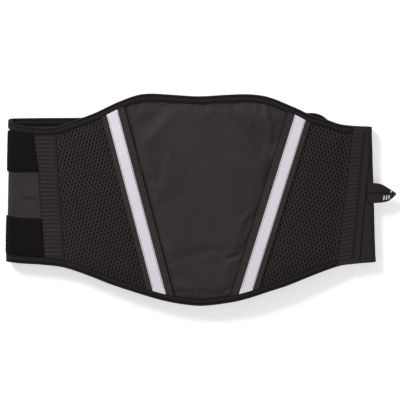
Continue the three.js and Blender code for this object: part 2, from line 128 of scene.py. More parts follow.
@dataclass(frozen=True)
class Curve:
    """A smooth curve through points, straight on beyond its ends."""

    x: Array
    y: Array

    def slopes(self) -> Array:
        """Slope at each point: from the point before it to the point after it.

        Returns:
            The slopes, one for each point.
        """
        before = np.r_[0, np.arange(len(self.x) - 1)]
        after = np.r_[np.arange(1, len(self.x)), len(self.x) - 1]
        return (self.y[after] - self.y[before]) / (self.x[after] - self.x[before])

    def at(self, s: Array) -> tuple[Array, Array]:
        """Height and slope at s, by a cubic that keeps both ends' heights and slopes.

        Args:
            s: Places along the curve.

        Returns:
            The heights and the slopes there.
        """
        s, slopes = np.asarray(s, float), self.slopes()
        k = np.clip(np.searchsorted(self.x, s, side="right"), 1, len(self.x) - 1)
        span = self.x[k] - self.x[k - 1]
        t = (s - self.x[k - 1]) / span
        y0, y1 = self.y[k - 1], self.y[k]
        m0, m1 = slopes[k - 1] * span, slopes[k] * span
        height = (2 * t**3 - 3 * t**2 + 1) * y0 + (t**3 - 2 * t**2 + t) * m0
        height = height + (3 * t**2 - 2 * t**3) * y1 + (t**3 - t**2) * m1
        slope = (6 * t**2 - 6 * t) * y0 + (3 * t**2 - 4 * t + 1) * m0
        slope = (slope + (6 * t - 6 * t**2) * y1 + (3 * t**2 - 2 * t) * m1) / span
        for beyond, end in ((s < self.x[0], 0), (s > self.x[-1], -1)):
            straight = self.y[end] + slopes[end] * (s - self.x[end])
            height = np.where(beyond, straight, height)
            slope = np.where(beyond, slopes[end], slope)
        return height, slope


@dataclass(frozen=True)
class Seam:
    """A seam of the back: where it crosses the middle line, its lean, and its bow at the top."""

    along: float
    lean: float
    bow: float = 0.0


@dataclass(frozen=True)
class Patch:
    """Points of the pattern on a grid: first index along the belt, second up it."""

    s: Array
    y: Array

    def thin(self, step: int) -> "Patch":
        """Every step-th grid line in both directions."""
        return Patch(self.s[::step, ::step], self.y[::step, ::step])

    def uv(self) -> Array:
        """Pattern coordinates of every point, for the UV map."""
        return np.stack([self.s, self.y], -1) * UV_SCALE


@dataclass(frozen=True)
class Pattern:
    """The closed belt's sizes in millimetres, as its solids have them."""

    left_reach: float = 246.6
    right_reach: float = 211.6
    left_fold_lean: float = 2.8
    right_fold_lean: float = 4.9
    fold_top: float = 15.5
    crown: float = 9.0
    crown_ramp: float = 150.0
    droop: float = 4.0
    side_height: float = 171.0
    top_rise: float = 42.2
    bottom_drop: float = 51.6
    gap: float = 0.3
    edge_thickness: float = 2.4
    wing_thickness: float = 2.4
    binding_width: float = 9.4
    binding_tuck: float = 2.4
    tape_inner: float = 17.3  # from the slanted seam to the tape's edge on the centre panel
    tape_outer: float = 15.2  # and on the mesh panel
    loop_thickness: float = 2.0
    loop_height: float = 47.5
    hook_thickness: float = 1.2
    hook_margin: float = 8.0
    left_wing_run: float = 408.0
    right_wing_run: float = 255.0
    wing_corner: float = 28.0
    lap_ramp: float = 46.0
    tab_height: float = 3.1
    tab_width: float = 26.5

    left_wing_seam: Seam = Seam(-0.837, -0.07, -3.1)
    left_elastic_seam: Seam = Seam(-0.732, -0.07)
    left_tape_seam: Seam = Seam(-0.359, -0.2625)
    right_tape_seam: Seam = Seam(0.417, 0.3125)
    right_elastic_seam: Seam = Seam(0.825, 0.115)
    right_wing_seam: Seam = Seam(0.9485, 0.091)

    # Edges of the back: share of the reach on that side, and share of the rise or drop.
    top_rows: tuple = (
        (-0.955, 0.1), (-0.912, 0.05), (-0.81, 0.0), (-0.75, 0.035), (-0.684, 0.165),
        (-0.563, 0.416), (-0.44, 0.752), (-0.34, 0.96), (-0.269, 1.0), (-0.167, 0.967),
        (-0.03, 0.922), (0.124, 0.965), (0.242, 0.984), (0.34, 0.94), (0.41, 0.842),
        (0.478, 0.7), (0.561, 0.522), (0.63, 0.35), (0.713, 0.242), (0.797, 0.102),
        (0.868, 0.058), (0.975, 0.036),
    )
    bottom_rows: tuple = (
        (-0.928, -0.02), (-0.836, 0.005), (-0.715, 0.075), (-0.593, 0.264), (-0.471, 0.49),
        (-0.289, 0.77), (-0.198, 0.888), (-0.106, 0.968), (-0.01, 1.0), (0.159, 0.915),
        (0.26, 0.815), (0.372, 0.665), (0.478, 0.525), (0.585, 0.352), (0.691, 0.18),
        (0.797, 0.036), (0.868, -0.005), (0.975, -0.044),
    )
    # Edges of the wings past their folds: share of the wing's run, and the same share of rise.
    left_wing_top: tuple = ((0.0, 0.262), (0.03, 0.286), (0.25, 0.305), (1.0, 0.455))
    left_wing_bottom: tuple = ((0.03, -0.08), (1.0, -0.2))
    right_wing_top: tuple = ((0.1, 0.03), (0.35, 0.1), (1.0, 0.15))
    right_wing_bottom: tuple = ((0.05, -0.06), (1.0, -0.06))

    shift: tuple = field(init=False)
    top: Curve = field(init=False)
    bottom: Curve = field(init=False)

    def __post_init__(self) -> None:
        """Works out the two edges and where the pattern's origin is in the row's frame."""
        rows = (self.top_rows, self.left_wing_top, self.right_wing_top)
        object.__setattr__(self, "top", self._edge(rows, Rim.TOP, self.top_rise))
        rows = (self.bottom_rows, self.left_wing_bottom, self.right_wing_bottom)
        object.__setattr__(self, "bottom", self._edge(rows, Rim.BOTTOM, self.bottom_drop))
        patch_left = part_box("hook_patch_upper")[0].x / MM
        tab_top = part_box("pull_tab")[1].y / MM
        across = patch_left - (self.right_wing_end + self.hook_margin)
        up = tab_top - (self.tab_height + self.tab_width / 2)
        object.__setattr__(self, "shift", (across, up, 0.0))

    def _edge(self, rows: tuple, rim: Rim, rise: float) -> Curve:
        """The whole belt's top or bottom edge, from the left wing's end to the right one's.

        Args:
            rows: Tables of the back, the left wing and the right wing. Each row has a place, as a
                share of that part's reach, and a share of the rise.
            rim: Which edge.
            rise: How far its middle stands out past its sides.

        Returns:
            Its height over the flat pattern.
        """
        back, left, right = (np.array(part) for part in rows)
        left = left[::-1]
        left_fold = self.left_turn(0) - math.pi / 2 * self.left_radius
        right_fold = self.right_turn(0) + math.pi / 2 * self.right_radius
        reach = np.where(back[:, 0] < 0, self.left_reach, self.right_reach)
        s = np.r_[
            left_fold - left[:, 0] * self.left_wing_run,
            back[:, 0] * reach,
            right_fold + right[:, 0] * self.right_wing_run,
        ]
        share = np.r_[left[:, 1], back[:, 1], right[:, 1]]
        return Curve(s, rim.value * (self.side_height / 2 + rise * share))

    @property
    def left_low(self) -> float:
        """Height of the left wing underneath: it lies on its loop strips."""
        return self.loop_thickness + self.gap + self.wing_thickness / 2

    @property
    def right_low(self) -> float:
        """Height of the right wing underneath: it lies on the floor."""
        return self.wing_thickness / 2

    @property
    def left_radius(self) -> float:
        """Radius of the left fold."""
        return (self.fold_top - self.left_low) / 2

    @property
    def right_radius(self) -> float:
        """Radius of the right fold."""
        return (self.fold_top - self.right_low) / 2

    @property
    def right_wing_end(self) -> float:
        """Where the right wing ends underneath."""
        return self.right_reach - self.right_wing_run

    @property
    def left_wing_end(self) -> float:
        """Where the left wing ends underneath."""
        return self.left_wing_run - self.left_reach

    @property
    def beside_binding(self) -> float:
        """Distance from the edge to the cloth that a binding leaves bare."""
        return self.binding_width + self.gap

    def left_turn(self, y: Array | float) -> Array | float:
        """Where the left fold begins to turn."""
        start = -self.left_reach + self.wing_thickness / 2 + self.left_radius
        return start + self.left_fold_lean * y / self.side_height

    def right_turn(self, y: Array | float) -> Array | float:
        """Where the right fold begins to turn."""
        start = self.right_reach - self.wing_thickness / 2 - self.right_radius
        return start - self.right_fold_lean * y / self.side_height

    def left_under(self, x: Array | float, y: Array | float) -> Array | float:
        """Position along the belt of what lies at x underneath, past the left fold."""
        return 2 * self.left_turn(y) - math.pi * self.left_radius - x

    def right_under(self, x: Array | float, y: Array | float) -> Array | float:
        """Position along the belt of what lies at x underneath, past the right fold."""
        return 2 * self.right_turn(y) + math.pi * self.right_radius - x

    def back_height(self, x: Array, y: Array) -> Array:
        """Height of the back: its crown rises from both folds and droops to its edges.

        Args:
            x: Places along the belt.
            y: Places up the belt.

        Returns:
            Height above the floor where n is 0.
        """
        reach = self.side_height / 2 + (self.top_rise + self.bottom_drop) / 2
        left = smooth((x - self.left_turn(y)) / self.crown_ramp)
        right = smooth((self.right_turn(y) - x) / self.crown_ramp)
        return self.fold_top + left * right * (self.crown - self.droop * (y / reach) ** 2)

    def wing_height(self, x: Array) -> Array:
        """Height of the left wing underneath: it climbs onto the end of the right one.

        Args:
            x: Places along the belt.

        Returns:
            Height above the floor where n is 0.
        """
        lift = self.wing_thickness + self.hook_thickness + 2 * self.gap
        start = self.right_wing_end - self.hook_margin / 2 - self.lap_ramp
        return self.left_low + lift * smooth((x - start) / self.lap_ramp)

    def place(self, s: Array, y: Array, n: Array | float) -> Array:
        """Points in space of points of the flat pattern.

        Between the folds a point stands n above the back. Past a fold's start it turns round
        the fold's axis at the radius plus n, and after a half turn it lies n below the wing,
        as far back as it is past the turn.

        Args:
            s: Places along the belt.
            y: Heights up the belt.
            n: Distances outwards from the middle of the cloth.

        Returns:
            The points in the row's frame, in metres.
        """
        s, y, n = np.broadcast_arrays(*(np.asarray(a, float) for a in (s, y, n)))
        x, z = s, self.back_height(s, y) + n
        for side, turn, radius in (
            (-1, self.left_turn(y), self.left_radius),
            (1, self.right_turn(y), self.right_radius),
        ):
            arc = side * (s - turn)
            angle = np.clip(arc / radius, 0, math.pi)
            below = turn - side * (arc - math.pi * radius)
            low = self.wing_height(below) if side < 0 else np.full_like(below, self.right_low)
            bent_x = turn + side * (radius + n) * np.sin(angle)
            bent_z = self.fold_top - radius + (radius + n) * np.cos(angle)
            past = arc > math.pi * radius
            x = np.where(arc > 0, np.where(past, below, bent_x), x)
            z = np.where(arc > 0, np.where(past, low - n, bent_z), z)
        return (np.stack([x, y, z], -1) + np.array(self.shift)) * MM

    def edge(self, rim: Rim, inset: float = 0.0) -> Line:
        """The belt's top or bottom edge, moved inwards by a width measured square to it.

        Args:
            rim: Which edge.
            inset: That width.

        Returns:
            Its height for a place along the belt.
        """
        curve = self.top if rim is Rim.TOP else self.bottom

        def line(s: Array) -> Array:
            """Height of the moved edge."""
            height, slope = curve.at(s)
            return height - rim.value * inset * np.hypot(1, slope)

        return line

    def middle(self, s: Array | float) -> Array:
        """Halfway between the belt's two long edges."""
        return (self.top.at(s)[0] + self.bottom.at(s)[0]) / 2

    def inside(self, patch: "Patch", left: Array, right: Array) -> Array:
        """Distances of each point from a panel's two sides and from the two bindings.

        Args:
            patch: The points.
            left: Place of the left side at each point's height.
            right: The same for the right side.

        Returns:
            The four distances, first index the side.
        """
        top, bottom = (self.edge(rim, self.beside_binding)(patch.s) for rim in Rim)
        return np.stack([patch.s - left, right - patch.s, top - patch.y, patch.y - bottom])

    @staticmethod
    def corner(inside: Array, radius: float) -> Array:
        """How far a rounded corner cuts an edge back, that far inside the end beside it."""
        inside = np.clip(inside, 0, radius)
        return radius - np.sqrt(radius**2 - (radius - inside) ** 2)

    def seam(self, seam: Seam, aside: float = 0.0) -> Line:
        """A seam's line, moved to the right by a distance measured square to it.

        The line is straight up to 28 mm above the middle, and has moved by its bow 52 mm
        further up.

        Args:
            seam: Which seam.
            aside: That distance.

        Returns:
            Its place along the belt for a height.
        """
        reach = self.left_reach if seam.along < 0 else self.right_reach
        start = seam.along * reach + aside * math.hypot(1, seam.lean)
        return lambda y: start + seam.lean * y + seam.bow * smooth((y - 28) / 52)

    def patch(self, stops: Sequence[Line], u: Array, low: Line, high: Line, v: Array) -> Patch:
        """The grid where lines across the belt meet lines along it.

        A column at u = k + f lies the share f of the way from stop k to stop k + 1, and a row
        at v the share v of the way from low to high. Both depend on each other, so six rounds
        of solving one and then the other bring every crossing to rest.

        Args:
            stops: Lines across the belt, each a function of y.
            u: Columns, from 0 to the number of stops less one.
            low: The lowest row, a function of s.
            high: The highest row.
            v: Rows, as shares from low to high.

        Returns:
            The points of the grid.
        """
        stop = np.minimum(u.astype(int), len(stops) - 2)[:, None]
        share = u[:, None] - stop
        v = v[None, :]
        y = np.zeros((len(u), v.shape[1]))
        for _ in range(6):
            lines = np.stack([np.broadcast_to(line(y), y.shape) for line in stops])
            near = np.take_along_axis(lines, np.broadcast_to(stop, y.shape)[None], 0)[0]
            far = np.take_along_axis(lines, np.broadcast_to(stop + 1, y.shape)[None], 0)[0]
            s = near * (1 - share) + far * share
            bottom, top = low(s), high(s)
            y = bottom * (1 - v) + top * v
        return Patch(s, y)


PATTERN = Pattern()


def columns(*steps: int) -> Array:
    """Columns that divide the space from each stop to the next into that many steps."""
    parts = [np.linspace(k, k + 1, count + 1)[:-1] for k, count in enumerate(steps)]
    return np.r_[np.concatenate(parts), len(steps)]


def rows(count: int, near: Sequence[float] = ()) -> Array:
    """Even rows from 0 to 1, with extra ones close to both ends."""
    near = np.array(near)
    return np.unique(np.r_[np.linspace(0, 1, count + 1), near, 1 - near])


# Meshes


def signed_volume(points: Array, faces: Sequence[Array]) -> float:
    """Volume inside closed faces, negative where they point inwards.

    The sum of a dot (b cross c) / 6 over the triangles that fan out from each face's first
    corner.

    Args:
        points: Points of the form.
        faces: Blocks of faces with the same number of corners.

    Returns:
        The volume.
    """
    total = 0.0
    for block in faces:
        first = points[block[:, 0]]
        for k in range(1, block.shape[1] - 1):
            cross = np.cross(points[block[:, k]], points[block[:, k + 1]])
            total += float(np.einsum("ij,ij->", first, cross)) / 6
    return total


def grid_quads(across: int, up: int) -> Array:
    """Four corners of every cell of a grid.

    Args:
        across: Grid lines across it.
        up: Grid lines up it.

    Returns:
        A row of four point numbers for each cell.
    """
    index = np.arange(across * up).reshape(across, up)
    cells = [index[:-1, :-1], index[1:, :-1], index[1:, 1:], index[:-1, 1:]]
    return np.stack(cells, -1).reshape(-1, 4)


def closed_faces(across: int, up: int, step: int = 1) -> list[Array]:
    """Faces of a closed sheet: its outer side, its inner side and its four narrow rims.

    Args:
        across: Grid lines across the outer side.
        up: Grid lines up it.
        step: The inner side has only every step-th grid line.

    Returns:
        Blocks of faces. The outer side's points are counted first, and then the inner side's.
    """
    top = np.arange(across * up).reshape(across, up)
    low = across * up + np.arange(top[::step, ::step].size).reshape(top[::step, ::step].shape)
    faces = [grid_quads(*top.shape), grid_quads(*low.shape)[:, ::-1] + top.size]
    rims = (
        (top[:, 0], low[:, 0], True),
        (top[:, -1], low[:, -1], False),
        (top[0], low[0], False),
        (top[-1], low[-1], True),
    )
    for fine, rough, turned in rims:
        first = np.arange(len(rough) - 1) * step
        along = [fine[first + k] for k in range(step + 1)]
        block = np.stack([*along, rough[1:], rough[:-1]], -1)
        faces.append(block[:, ::-1] if turned else block)
    return faces


class Body:
    """Points, faces, UVs and marks of one piece, gathered and then made an object."""

    def __init__(self) -> None:
        """Starts with nothing in it."""
        self.points: list[Array] = []
        self.uvs: list[Array] = []
        self.marks: list[Array] = []
        self.faces: list[Array] = []
        self.count = 0

    def add(self, points: Array, faces: Sequence[Array], uv: Array, mark: Array | float = 0.0) -> None:
        """Takes in a closed form, turned so that its faces point out.

        Args:
            points: Its points in metres.
            faces: Blocks of faces with the same number of corners.
            uv: UV of each point.
            mark: A number for each point, which the finish may read.
        """
        flip = signed_volume(points, faces) < 0
        for block in faces:
            self.faces.append((block[:, ::-1] if flip else block) + self.count)
        self.points.append(points)
        self.uvs.append(uv)
        self.marks.append(np.broadcast_to(np.asarray(mark, float).ravel(), len(points)))
        self.count += len(points)

    def shell(
        self, patch: Patch, outer: Array, inner: Array | float,
        mark: Array | float = 0.0, step: int = 1,
    ) -> None:
        """A sheet of cloth between two faces, closed round its rim.

        Args:
            patch: Grid of the pattern.
            outer: Distance outwards of the outer face at each grid point.
            inner: The same for the inner face.
            mark: Mark of each grid point, on both faces.
            step: The inner face has only every step-th grid line.
        """
        outside = PATTERN.place(patch.s, patch.y, outer)
        inner = np.broadcast_to(inner, patch.s.shape)[::step, ::step]
        coarse = patch.thin(step)
        inside = PATTERN.place(coarse.s, coarse.y, inner)
        mark = np.broadcast_to(mark, patch.s.shape)
        points = np.r_[outside.reshape(-1, 3), inside.reshape(-1, 3)]
        uv = np.r_[patch.uv().reshape(-1, 2), coarse.uv().reshape(-1, 2)]
        marks = np.r_[mark.ravel(), mark[::step, ::step].ravel()]
        self.add(points, closed_faces(*patch.s.shape, step), uv, marks)

    def tube(self, rings: Array, uv: Array, mark: Array | float = 0.0) -> None:
        """A closed profile carried along a path, with a flat cap at each end.

        Args:
            rings: Points, first index along the path and second round the profile.
            uv: UV of each of them.
            mark: Mark of each of them.
        """
        stations, size = rings.shape[:2]
        index = np.arange(stations * size).reshape(stations, size)
        turned = np.roll(index, -1, axis=1)
        sides = np.stack([index[:-1], turned[:-1], turned[1:], index[1:]], -1).reshape(-1, 4)
        caps = [index[:1, ::-1], index[-1:]]
        marks = np.broadcast_to(mark, rings.shape[:2])
        self.add(rings.reshape(-1, 3), [sides, *caps], uv.reshape(-1, 2), marks)

    def stitches(self, s: Array, y: Array, n: Array | float, thread: "Thread") -> None:
        """Stitches along a line of the pattern, each a lozenge half sunk in the cloth.

        The line's length is measured in space, and a stitch lies every pitch along it. Its
        rings have the radii 0.7, 1 and 0.7 times the thread's, and its ends are points.

        Args:
            s: Places of the line's points along the belt, close together.
            y: Their heights.
            n: Their distances outwards.
            thread: Size of the stitches.
        """
        path = PATTERN.place(s, y, n)
        out = PATTERN.place(s, y, np.asarray(n) + 1) - path
        far = np.r_[0, np.cumsum(np.linalg.norm(np.diff(path, axis=0), axis=1))]
        at = np.arange(thread.pitch * MM / 2, far[-1], thread.pitch * MM)

        def read(values: Array) -> Array:
            """Values of the line at every stitch."""
            return np.stack([np.interp(at, far, values[:, k]) for k in range(values.shape[1])], -1)

        centre, up = read(path), read(out)
        along = read(np.gradient(path, axis=0))
        up = up / np.linalg.norm(up, axis=1, keepdims=True)
        along = along / np.linalg.norm(along, axis=1, keepdims=True)
        side = np.cross(up, along)
        angle = np.linspace(0, 2 * math.pi, 6)[:-1]
        x = np.repeat([-0.32, 0.0, 0.32], 5) * thread.length
        radius = np.repeat([0.7, 1.0, 0.7], 5) * thread.radius
        circle = [radius * np.tile(turn(angle), 3) for turn in (np.cos, np.sin)]
        shape = np.stack([x, *circle], -1)
        ends = np.array([[-0.5, 0, 0], [0.5, 0, 0]]) * thread.length
        shape = np.r_[shape, ends] * MM
        axes = enumerate((along, side, up))
        points = sum(shape[None, :, k, None] * axis[:, None] for k, axis in axes)
        points = points + centre[:, None]
        ring = np.arange(15).reshape(3, 5)
        turned = np.roll(ring, -1, axis=1)
        quads = np.stack([ring[:-1], turned[:-1], turned[1:], ring[1:]], -1).reshape(-1, 4)
        first = np.stack([turned[0], ring[0], np.full(5, 15)], -1)
        last = np.stack([ring[2], turned[2], np.full(5, 16)], -1)
        start = np.arange(len(at))[:, None, None] * 17
        faces = [(block[None] + start).reshape(-1, block.shape[1]) for block in (quads, first, last)]
        where = np.stack([np.interp(at, far, s), np.interp(at, far, y)], -1) * UV_SCALE
        uv = np.repeat(where, 17, axis=0) + np.tile(shape[:, :2] / MM * UV_SCALE, (len(at), 1))
        self.add(points.reshape(-1, 3), faces, uv)

    def build(
        self, name: str, finish: "Finish", nodes: Sequence[str] = (), sharp: float = 60.0,
    ) -> bpy.types.Object:
        """Makes the piece, dresses it, and puts it on the belt.

        Args:
            name: The piece's name.
            finish: What it is made of.
            nodes: CAD nodes that it stands for.
            sharp: Angle in degrees past which an edge is shown sharp.

        Returns:
            The new object.
        """
        mesh = bpy.data.meshes.new(name)
        points = np.concatenate(self.points).astype(np.float32)
        corners = np.concatenate([block.ravel() for block in self.faces]).astype(np.int32)
        sizes = np.concatenate([np.full(len(block), block.shape[1]) for block in self.faces])
        mesh.vertices.add(len(points))
        mesh.vertices.foreach_set("co", points.ravel())
        mesh.loops.add(len(corners))
        mesh.loops.foreach_set("vertex_index", corners)
        mesh.polygons.add(len(sizes))
        mesh.polygons.foreach_set("loop_start", (np.cumsum(sizes) - sizes).astype(np.int32))
        mesh.update(calc_edges=True)
        uv = mesh.uv_layers.new(name=UV_NAME)
        uv.data.foreach_set("uv", np.concatenate(self.uvs)[corners].astype(np.float32).ravel())
        mark = mesh.attributes.new("mark", "FLOAT", "POINT")
        mark.data.foreach_set("value", np.concatenate(self.marks).astype(np.float32))
        mesh.shade_smooth()
        mesh.set_sharp_from_angle(angle=math.radians(sharp))
        mesh.materials.append(finish.material())
        piece = bpy.data.objects.new(name, mesh)
        bpy.context.scene.collection.objects.link(piece)
        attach(piece, "root")
        if nodes:
            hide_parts(*nodes)
        LOG.info("%s: %d points, %d faces", name, len(points), len(sizes))
        return piece


@dataclass(frozen=True)
class Thread:
    """Size of a row of stitches, in millimetres."""

    pitch: float = 3.0
    length: float = 2.3
    radius: float = 0.32


# Shaders


@dataclass(frozen=True)
class Value:
    """A socket that carries a number, with arithmetic that adds Math nodes."""

    ink: "Ink"
    socket: bpy.types.NodeSocket

    def _math(self, operation: str, *values: "Value | float") -> "Value":
        """The result of a Math node on those values."""
        inputs = {k: value for k, value in enumerate(values)}
        return self.ink.node("ShaderNodeMath", {"operation": operation}, inputs)["Value"]

    def __add__(self, other: "Value | float") -> "Value":
        """Sum."""
        return self._math("ADD", self, other)

    def __radd__(self, other: float) -> "Value":
        """Sum with a number in front."""
        return self._math("ADD", other, self)

    def __sub__(self, other: "Value | float") -> "Value":
        """Difference."""
        return self._math("SUBTRACT", self, other)

    def __rsub__(self, other: float) -> "Value":
        """Difference from a number."""
        return self._math("SUBTRACT", other, self)

    def __mul__(self, other: "Value | float") -> "Value":
        """Product."""
        return self._math("MULTIPLY", self, other)

    def __rmul__(self, other: float) -> "Value":
        """Product with a number in front."""
        return self._math("MULTIPLY", other, self)

    def sine(self) -> "Value":
        """Sine of the value."""
        return self._math("SINE", self)

    def size(self) -> "Value":
        """The value without its sign."""
        return self._math("ABSOLUTE", self)


class Outputs:
    """The outputs of a node."""

    def __init__(self, ink: "Ink", node: bpy.types.Node) -> None:
        """Keeps the node."""
        self.ink = ink
        self.node = node

    def __getitem__(self, name: "str | int") -> Value:
        """One output, by its name or its number."""
        return Value(self.ink, self.node.outputs[name])


class Ink:
    """The node tree of one material."""

    def __init__(self, name: str) -> None:
        """Makes an empty material.

        Args:
            name: The material's name.
        """
        self.material = bpy.data.materials.new(name)
        self.material.use_nodes = True
        self.tree = self.material.node_tree
        self.tree.nodes.clear()

    def node(self, kind: str, settings: dict, inputs: dict) -> Outputs:
        """Adds a node.

        Args:
            kind: The node's type.
            settings: Its properties, set first.
            inputs: Values or links of its sockets, by name or number.

        Returns:
            Its outputs.
        """
        node = self.tree.nodes.new(kind)
        for name, value in settings.items():
            setattr(node, name, value)
        for name, value in inputs.items():
            if isinstance(value, Value):
                self.tree.links.new(value.socket, node.inputs[name])
            else:
                node.inputs[name].default_value = value
        return Outputs(self, node)

    def pattern(self) -> tuple[Value, Value]:
        """Places along and up the cloth, in millimetres.

        Returns:
            The place along it, and the place up it.
        """
        uv = self.node("ShaderNodeUVMap", {"uv_map": UV_NAME}, {})["UV"]
        parts = self.node("ShaderNodeSeparateXYZ", {}, {"Vector": uv})
        return parts["X"] * (1 / UV_SCALE), parts["Y"] * (1 / UV_SCALE)

    def grain(self, cell: float, detail: float = 2.0, stretch: tuple = (1.0, 1.0, 1.0)) -> Value:
        """Noise from 0 to 1 over the object.

        Args:
            cell: Size of its grains in millimetres.
            detail: How many finer layers it has.
            stretch: How much denser it is along each axis.

        Returns:
            The noise.
        """
        place = self.node("ShaderNodeTexCoord", {}, {})["Object"]
        scaled = self.node("ShaderNodeMapping", {}, {"Vector": place, "Scale": stretch})["Vector"]
        inputs = {"Vector": scaled, "Scale": 1 / (cell * MM), "Detail": detail, "Roughness": 0.55}
        return self.node("ShaderNodeTexNoise", {}, inputs)["Fac"]

    def mark(self) -> Value:
        """The mark that the mesh carries."""
        settings = {"attribute_type": "GEOMETRY", "attribute_name": "mark"}
        return self.node("ShaderNodeAttribute", settings, {})["Fac"]

    def blend(self, low: "tuple | Value", high: "tuple | Value", share: Value) -> Value:
        """A colour between two others. Numbers pick the Mix node's colour sockets."""
        inputs = {0: share, 6: as_colour(low), 7: as_colour(high)}
        return self.node("ShaderNodeMix", {"data_type": "RGBA", "clamp_factor": True}, inputs)[2]

    def bump(self, height: Value, depth: float) -> Value:
        """A normal from a height of 0 to 1 and the depth in millimetres that it stands for."""
        inputs = {"Height": height, "Strength": 1.0, "Distance": depth * MM}
        return self.node("ShaderNodeBump", {}, inputs)["Normal"]

    def surface(self, inputs: dict) -> bpy.types.Material:
        """Ends the tree in a Principled surface.

        Args:
            inputs: Its sockets' values or links.

        Returns:
            The material.
        """
        shader = self.node("ShaderNodeBsdfPrincipled", {}, inputs)["BSDF"]
        self.node("ShaderNodeOutputMaterial", {}, {"Surface": shader})
        return self.material


def as_colour(value: "tuple | Value") -> "tuple | Value":
    """A colour of three numbers with its alpha of 1, or a link as it is."""
    return value if isinstance(value, Value) else (*value, 1.0)


def shade(colour: tuple, share: float) -> tuple:
    """The colour made lighter or darker."""
    return tuple(min(1.0, part * share) for part in colour)


@dataclass(frozen=True)
class Finish:
    """What a piece is made of: its slot in the record, and its look."""

    name: str
    slot: str
    colour: tuple
    roughness: float = 0.85
    gloss: float = 0.035
    uneven: float = 0.16  # how much lighter and darker the colour gets over the cloth

    def material(self) -> bpy.types.Material:
        """The material, made once."""
        made = bpy.data.materials.get(self.name)
        return made or self.paint(Ink(self.name))

    def paint(self, ink: Ink) -> bpy.types.Material:
        """Builds the nodes: an uneven colour and a fine tooth.

        Args:
            ink: The empty material.

        Returns:
            The material.
        """
        return self.finish(ink, self.tone(ink), ink.grain(0.7), 0.08)

    def tone(self, ink: Ink, colour: "tuple | None" = None) -> Value:
        """The colour, uneven in large soft clouds and in small specks.

        Args:
            ink: The material so far.
            colour: A colour to use in place of the finish's own.

        Returns:
            The uneven colour.
        """
        colour = colour or self.colour
        cloud = ink.grain(38.0, 3.0) * 0.65 + ink.grain(2.2, 2.0) * 0.35
        low, high = (shade(colour, 1 + 2 * self.uneven * way) for way in (-1, 1))
        return ink.blend(low, high, cloud)

    def finish(self, ink: Ink, colour: Value, height: Value, depth: float) -> bpy.types.Material:
        """Ends the material with this finish's gloss.

        Args:
            ink: The material so far.
            colour: Its colour.
            height: Its relief, from 0 to 1.
            depth: Depth of the relief in millimetres.

        Returns:
            The material.
        """
        rough = ink.grain(14.0) * 0.12 + (self.roughness - 0.06)
        return ink.surface({
            "Base Color": colour,
            "Roughness": rough,
            "Normal": ink.bump(height, depth),
            "Specular IOR Level": self.gloss,
        })


@dataclass(frozen=True)
class Woven(Finish):
    """A plain weave, whose two sets of threads cross over and under."""

    pitch: float = 0.62  # between threads
    depth: float = 0.03
    # Where the mesh is marked, the colour is darkened as painted shade.
    shaded_share: float = 0.5  # share of the colour left where the mesh is marked

    def paint(self, ink: Ink) -> bpy.types.Material:
        """Height is the product of two sines, half of it, plus a half.

        Args:
            ink: The empty material.

        Returns:
            The material.
        """
        along, up = ink.pattern()
        turn = math.pi / self.pitch
        weave = (along * turn).sine() * (up * turn).sine() * 0.5 + 0.5
        slub = ink.grain(1.6, 2.0, (0.25, 1.0, 1.0))
        # Marked places get painted shade.
        colour = ink.blend(self.tone(ink), shade(self.colour, self.shaded_share), ink.mark())
        return self.finish(ink, colour, weave * 0.5 + slub * 0.5, self.depth)


@dataclass(frozen=True)
class Knit(Finish):
    """Threads with open holes between them: the mark is 1 in a hole and 0 on a thread."""

    # The raised threads' colour is a painted highlight, and the holes' colour is painted shade.
    thread: tuple = (0.040, 0.034, 0.035)
    hole: tuple = (0.0085, 0.007, 0.0074)

    def paint(self, ink: Ink) -> bpy.types.Material:
        """The mark blends from the raised threads' painted highlight through the ground to the holes'
        painted shade.

        Args:
            ink: The empty material.

        Returns:
            The material.
        """
        mark = ink.mark()
        base = self.tone(ink)
        lit = ink.blend(base, self.thread, mark * -1.0)
        colour = ink.blend(lit, self.hole, mark)
        fibre = ink.grain(0.45, 3.0)
        return self.finish(ink, colour, fibre, 0.12)


@dataclass(frozen=True)
class Ribbed(Finish):
    """A narrow fabric with grooves, whose threads lie a pitch apart."""

    pitch: float = 1.4
    depth: float = 0.12
    # light and dark: shares of the colour for the painted highlight off the grooves and the painted
    # shade in them
    light: float = 1.25
    dark: float = 0.6

    def paint(self, ink: Ink) -> bpy.types.Material:
        """Marked places are grooves, with painted shade in them and a painted highlight on the rest,
        and a fine sine along the cloth adds its threads.

        Args:
            ink: The empty material.

        Returns:
            The material.
        """
        along, _ = ink.pattern()
        thread = (along * (2 * math.pi / self.pitch)).sine() * 0.5 + 0.5
        light, dark = shade(self.colour, self.light), shade(self.colour, self.dark)
        colour = ink.blend(self.tone(ink, light), dark, ink.mark())
        return self.finish(ink, colour, thread * 0.6 + ink.grain(0.5) * 0.4, self.depth)


@dataclass(frozen=True)
class Beaded(Finish):
    """Reflective tape: tiny glass beads on a silver ground."""

    def paint(self, ink: Ink) -> bpy.types.Material:
        """Beads are the cells of a fine Voronoi pattern, with a painted highlight at their middles and
        painted shade where they meet. Marked places get painted shade.

        Args:
            ink: The empty material.

        Returns:
            The material.
        """
        place = ink.node("ShaderNodeTexCoord", {}, {})["Object"]
        inputs = {"Vector": place, "Scale": 1 / (0.55 * MM)}
        bead = ink.node("ShaderNodeTexVoronoi", {}, inputs)["Distance"]
        worn = ink.grain(9.0, 4.0)
        # Painted highlight at each bead's middle, painted shade where beads meet.
        base = ink.blend(shade(self.colour, 0.86), shade(self.colour, 1.08), 1 - bead * 0.7)
        colour = ink.blend(base, shade(self.colour, 0.9), worn * 1.2 - 0.5)
        return ink.surface({
            "Base Color": ink.blend(colour, shade(self.colour, 0.35), ink.mark()),
            "Metallic": 0.1,
            "Roughness": worn * 0.2 + 0.34,
            "Normal": ink.bump(1 - bead, 0.05),
        })


